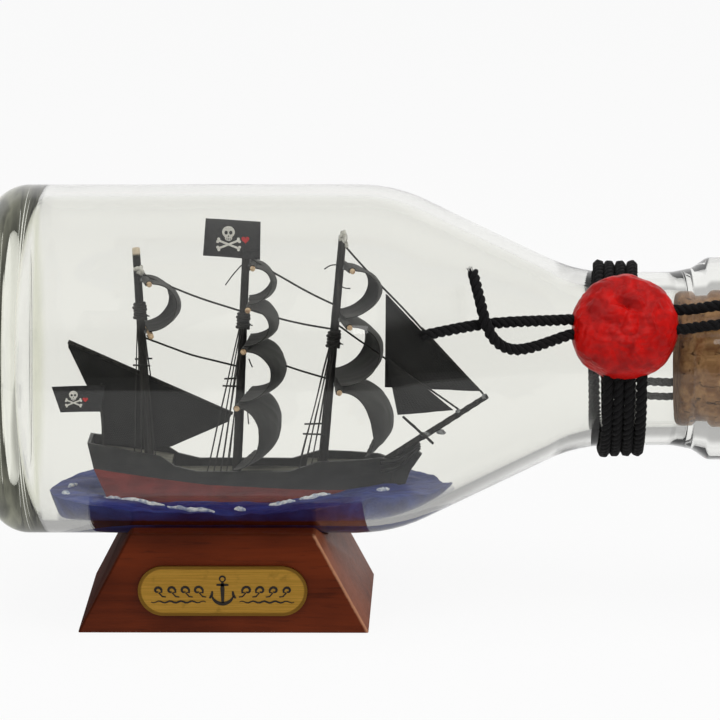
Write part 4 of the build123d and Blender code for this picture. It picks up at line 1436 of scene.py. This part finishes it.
def make_shrouds():
    bars = []
    for mast, (top, feet, spreader_z) in SHROUDS.items():
        lines = []
        for side in (-1, 1):
            for number, foot_x in enumerate(feet):
                spread = (number - 1.5) * 0.286
                start = (mast_x(mast, top) + spread, side * (mast_radius(mast, top) + 0.3), top + 0.3)
                end = (foot_x, side * (rail_y(foot_x) + 0.25), along(RAIL, foot_x) - 1.4)
                lines.append(thread_line(start, end, 0.0, 2, number + side * 3 + top, 12))
            share = (top - spreader_z) / (top - along(RAIL, feet[0]))
            start_y = mast_radius(mast, top) + 0.4
            y = side * (start_y + (rail_y(feet[0]) - start_y) * share + 0.35)
            aft = mast_x(mast, top) + (feet[0] - mast_x(mast, top)) * share - 1.0
            ahead = mast_x(mast, top) + (feet[-1] - mast_x(mast, top)) * share + 1.0
            ends = (aft, y, spreader_z), (ahead, y, spreader_z + 0.15 * side)
            bars.append(thread_line(*ends, 0.0, 2, top, 6))
        piece = tube_mesh(f"{mast}_shroud_threads", lines, 0.14 * MM, 6)
        finish_piece(piece, THREAD, nodes=[f"{mast}_shrouds"])
    piece = tube_mesh("spreader_bars", bars, 0.2 * MM, 8)
    finish_piece(piece, THREAD, nodes=["shroud_spreaders"])


make_shrouds()


LASH_TURNS, LASH_STEPS, LASH_HEIGHT = 5, 18, 3.6
# The other loose threads: where each starts and ends, how far it sags, and its steps
LOOSE_ENDS = [
    ((3.6, -0.7, 50.6), (0.1, -1.5, 46.4), -0.2, 10),
    ((24.6, -0.6, 50.6), (21.6, -1.2, 49.8), -0.4, 10),
    ((24.4, -0.7, 46.6), (27.2, -1.2, 45.6), 0.4, 8),
    ((-17.2, -0.8, 35.2), (-15.8, -1.4, 33.9), 0.2, 8),
    ((4.6, -1.0, 18.4), (4.8, -1.4, 15.4), 0.1, 8),
    ((5.0, -1.0, 30.0), (5.8, -1.6, 28.2), 0.1, 8),
]


def make_lashings():
    """Turns of thread wound round each mast where its shrouds are made fast, with loose ends."""
    winds, stubs = [], []
    for mast, (top, _, _) in SHROUDS.items():
        points = []
        for step in range(LASH_TURNS * LASH_STEPS + 1):
            angle = 2 * pi * step / LASH_STEPS
            z = top - 1.6 + LASH_HEIGHT * step / (LASH_TURNS * LASH_STEPS)
            r = mast_radius(mast, z) + 0.42 + 0.12 * sin(angle * 0.37)
            points.append(tuple(ship(mast_x(mast, z) + r * cos(angle), r * sin(angle), z)))
        winds.append(points)
        stubs.append(thread_line((mast_x(mast, top) + 0.8, -0.5, top + 0.4),
                                 (mast_x(mast, top) + 2.1, -1.2, top - 0.7), 0.3, 2, top, 8))
    for number, (start, end, sag, steps) in enumerate(LOOSE_ENDS):
        stubs.append(thread_line(start, end, sag, 2, number + 1.5, steps))
    turns = tube_mesh("mast_thread_turns", winds, 0.36 * MM, 8)
    finish_piece(turns, THREAD, nodes=["mast_lashings"])
    finish_piece(tube_mesh("loose_thread_ends", stubs, 0.15 * MM, 6), THREAD)


make_lashings()


def blob(place, size, seed, stretch=(1, 1, 1)):
    """A bead of dried glue."""
    bead = primitive("ico_sphere", "glue_bead", subdivisions=3, radius=1)
    centre = ship(*place)

    def dab(p):
        swell = 1 + 0.35 * noise.noise(p * 1.3 + Vector((seed, 0, 0)))
        return centre + Vector([p[axis] * stretch[axis] * size * MM * swell for axis in range(3)])

    sculpt(bead, dab)
    smooth(bead)
    return bead


def make_glue():
    clear = [blob((-19.0, -0.2, 50.0), 1.1, 1, (1, 0.9, 0.7)), blob((-18.4, -0.6, 49.2), 0.8, 2),
             blob((4.7, -0.3, 53.3), 0.95, 3, (1.3, 1, 0.9)),
             blob((6.0, -0.5, 52.5), 0.7, 4, (1.3, 0.9, 0.7)),
             blob((25.7, -0.2, 56.6), 0.95, 5, (0.9, 0.9, 1.6)),
             blob((26.4, -0.4, 55.0), 0.6, 6, (0.7, 0.7, 1.5))]
    grey = [blob((46.6, -0.5, 13.4), 0.8, 7, (1.2, 1, 0.7)), blob((43.2, -0.6, 12.9), 0.7, 8, (1.3, 1, 0.7)),
            blob((55.9, 0, 21.2), 0.7, 9), blob((50.4, 0, 17.9), 0.62, 10)]
    for mast, rows in YARDS.items():
        for number, (z, _, _) in enumerate(rows):
            grey.append(blob((yard_x(mast, z) - 0.8, 0, z), 0.72, 11 + number + z, (1.2, 1, 0.8)))
    finish_piece(join("clear_glue_beads", clear), GLUE_CLEAR)
    finish_piece(join("grey_glue_beads", grey), GLUE_GREY)


make_glue()


# ---------------------------------------------------------------- flags
FLAG_BLACK = flag_finish("black_flag_paper", (0.010, 0.010, 0.011), (0.04, 0.04, 0.042))
FLAG_WHITE = flag_finish("white_flag_print", (0.55, 0.54, 0.50), (0.80, 0.79, 0.75))
FLAG_RED = flag_finish("red_flag_print", (0.38, 0.015, 0.02), (0.60, 0.03, 0.03))


def make_flag(name, node, corners, y, emblem_at, emblem_size):
    """A paper flag between four corners, with a skull, crossed bones and a heart on both faces."""
    low_left, low_right, top_right, top_left = [Vector((x, 0, z)) for x, z in corners]

    def bend(spot):
        return y + 0.22 * sin((spot.x - low_left.x) / 2.7) + 0.06 * lump((spot.x, spot.z, 0), 2.5, y)

    def place(u, v):
        spot = low_left.lerp(low_right, u).lerp(top_left.lerp(top_right, u), v)
        return ship(spot.x, bend(spot), spot.z)

    piece, _, _ = cloth_grid(f"{name}_paper", place, 30, 22, 0.00016)
    finish_piece(piece, FLAG_BLACK, nodes=[node])

    def patch(title, kind, spots):
        """Flat shapes laid over both faces of the flag and bent with it."""
        pieces = []
        for face in (-1, 1):
            for outline in spots:
                disc = primitive("circle", title, vertices=len(outline), radius=0.001, fill_type="NGON")
                for point, (x, z) in zip(disc.data.vertices, outline):
                    spot = Vector((emblem_at[0] + x * emblem_size, 0, emblem_at[1] + z * emblem_size))
                    point.co = ship(spot.x, bend(spot) + face * (0.10 + 0.02 * kind), spot.z)
                modify(disc, "SOLIDIFY", thickness=0.00005, offset=0)
                outward(disc)
                pieces.append(disc)
        return join(title, pieces)

    def round_patch(x, z, wide, tall, points=20, bump=0.0):
        angles = [2 * pi * step / points for step in range(points)]
        return [(x + wide * cos(a) * (1 + bump * sin(2 * a)), z + tall * sin(a)) for a in angles]

    def bone(x0, z0, x1, z1, width):
        start, end = Vector((x0, z0)), Vector((x1, z1))
        run = (end - start).normalized()
        side = Vector((-run.y, run.x)) * width
        shaft = [start - side, start + side, end + side, end - side]
        knobs = [round_patch(*(tip + way * 1.3 * side), 1.5 * width, 1.5 * width, 10)
                 for tip in (start, end) for way in (-1, 1)]
        return [[tuple(point) for point in shaft], *knobs]

    skull = [round_patch(0, 0.42, 0.46, 0.42, 24), round_patch(0, 0.02, 0.27, 0.22, 16)]
    bones = bone(-0.75, -0.75, 0.75, -0.15, 0.075) + bone(-0.75, -0.15, 0.75, -0.75, 0.075)
    white = patch(f"{name}_skull", 0, skull + bones)
    finish_piece(white, FLAG_WHITE)
    eyes = [round_patch(-0.17, 0.38, 0.12, 0.13, 14), round_patch(0.17, 0.38, 0.12, 0.13, 14),
            [(0, 0.22), (-0.06, 0.1), (0.06, 0.1)]]
    eyes += [round_patch(x, -0.06, 0.022, 0.09, 8) for x in (-0.12, 0, 0.12)]
    finish_piece(patch(f"{name}_eyes", 3, eyes), FLAG_BLACK)
    heart = []
    for step in range(28):
        a = 2 * pi * step / 28
        x = 16 * sin(a) ** 3 / 17
        z = (13 * cos(a) - 5 * cos(2 * a) - 2 * cos(3 * a) - cos(4 * a)) / 17
        heart.append((1.22 + 0.3 * x, -0.1 + 0.3 * z))
    finish_piece(patch(f"{name}_heart", 0, [heart]), FLAG_RED)


make_flag("masthead_flag", "masthead_flag", [(-4.7, 52.8), (7.7, 51.9), (7.9, 60.1), (-4.0, 60.8)], -1.3,
          (0.9, 56.6), 3.0)
make_flag("stern_flag", "stern_flag", [(-36.3, 18.0), (-27.6, 18.2), (-26.4, 24.1), (-38.1, 23.8)], -1.3,
          (-33.4, 21.1), 2.1)


# ---------------------------------------------------------------- floor, light and world
NEAR_TABLE_Y = -0.386


class Surround(Finish):
    """The world's own nodes, round its one Background shader."""

    def __init__(self, world):
        world.use_nodes = True
        self.tree = world.node_tree
        self.shader = self.tree.nodes["Background"]


def make_floor():
    """A white table that glows evenly; reflected off glass, its near part is as dark as the room."""
    piece = primitive("circle", "table_top", vertices=96, radius=9.0, fill_type="NGON")
    f = Finish("lit_white_table", base_color=(0.05, 0.05, 0.05), roughness=0.9, emission_strength=1.0,
               specular_ior_level=0.0)
    _, y, _ = f.parts(f.place())
    mirrored = f.mirrored()
    dim = f.mix(y.rise(NEAR_TABLE_Y + 0.01, NEAR_TABLE_Y - 0.01), (0.42, 0.42, 0.42), (0.045, 0.045, 0.045))
    dim = f.mix(y.rise(0.02, 0.06), dim, (0.92, 0.92, 0.92))
    f.set(emission_color=f.mix(mirrored, (0.92, 0.92, 0.92), dim))
    piece.data.materials.append(f.material)
    panel = primitive("plane", "window_panel", size=1, location=(0.12, -0.95, 0.62), scale=(0.16, 0.10, 1),
                      rotation=(radians(58), 0, 0))
    light = Finish("window_light", base_color=(0.0, 0.0, 0.0), emission_color=(1.0, 1.0, 1.0),
                   emission_strength=3.0, specular_ior_level=0.0)
    panel.data.materials.append(light.material)
    panel.visible_camera = panel.visible_diffuse = panel.visible_shadow = False
    panel.visible_transmission = False


def make_light(name, place, aim, size, power):
    data = bpy.data.lights.new(name, "AREA")
    data.energy, data.size = power, size
    light = bpy.data.objects.new(name, data)
    light.location = place
    light.rotation_euler = (Vector(aim) - Vector(place)).to_track_quat("-Z", "Y").to_euler()
    light.visible_glossy = False
    light.visible_transmission = False
    bpy.context.scene.collection.objects.link(light)


def make_world():
    """White to the eye, through glass and behind the bottle; dark in front of it to reflections."""
    world = bpy.data.worlds.new("studio")
    bpy.context.scene.world = world
    f = Surround(world)
    _, y, z = f.parts(f.node("TexCoord", output="Generated"))
    room = f.mix(y.rise(-0.15, 0.15), (0.035, 0.035, 0.035), (0.93, 0.93, 0.93))
    room = f.mix(z.rise(0.45, 0.65), room, (0.5, 0.5, 0.5))
    mirrored = f.mirrored()
    shaded = f.node("LightPath", output="Is Diffuse Ray")
    seen = f.mix(mirrored, (0.96, 0.96, 0.96), room)
    f.set(color=f.mix(shaded, seen, (0.30, 0.30, 0.30)))


make_floor()
make_light("overhead", (0.1, -0.3, 1.3), (0.02, 0, 0.05), 1.0, 9.0)
make_light("front_left", (-0.8, -1.0, 0.8), (0.0, 0, 0.05), 0.7, 4.0)
make_light("right", (1.1, -0.5, 0.7), (0.05, 0, 0.05), 0.6, 8.0)
make_world()
bpy.context.scene.view_settings.view_transform = "Standard"
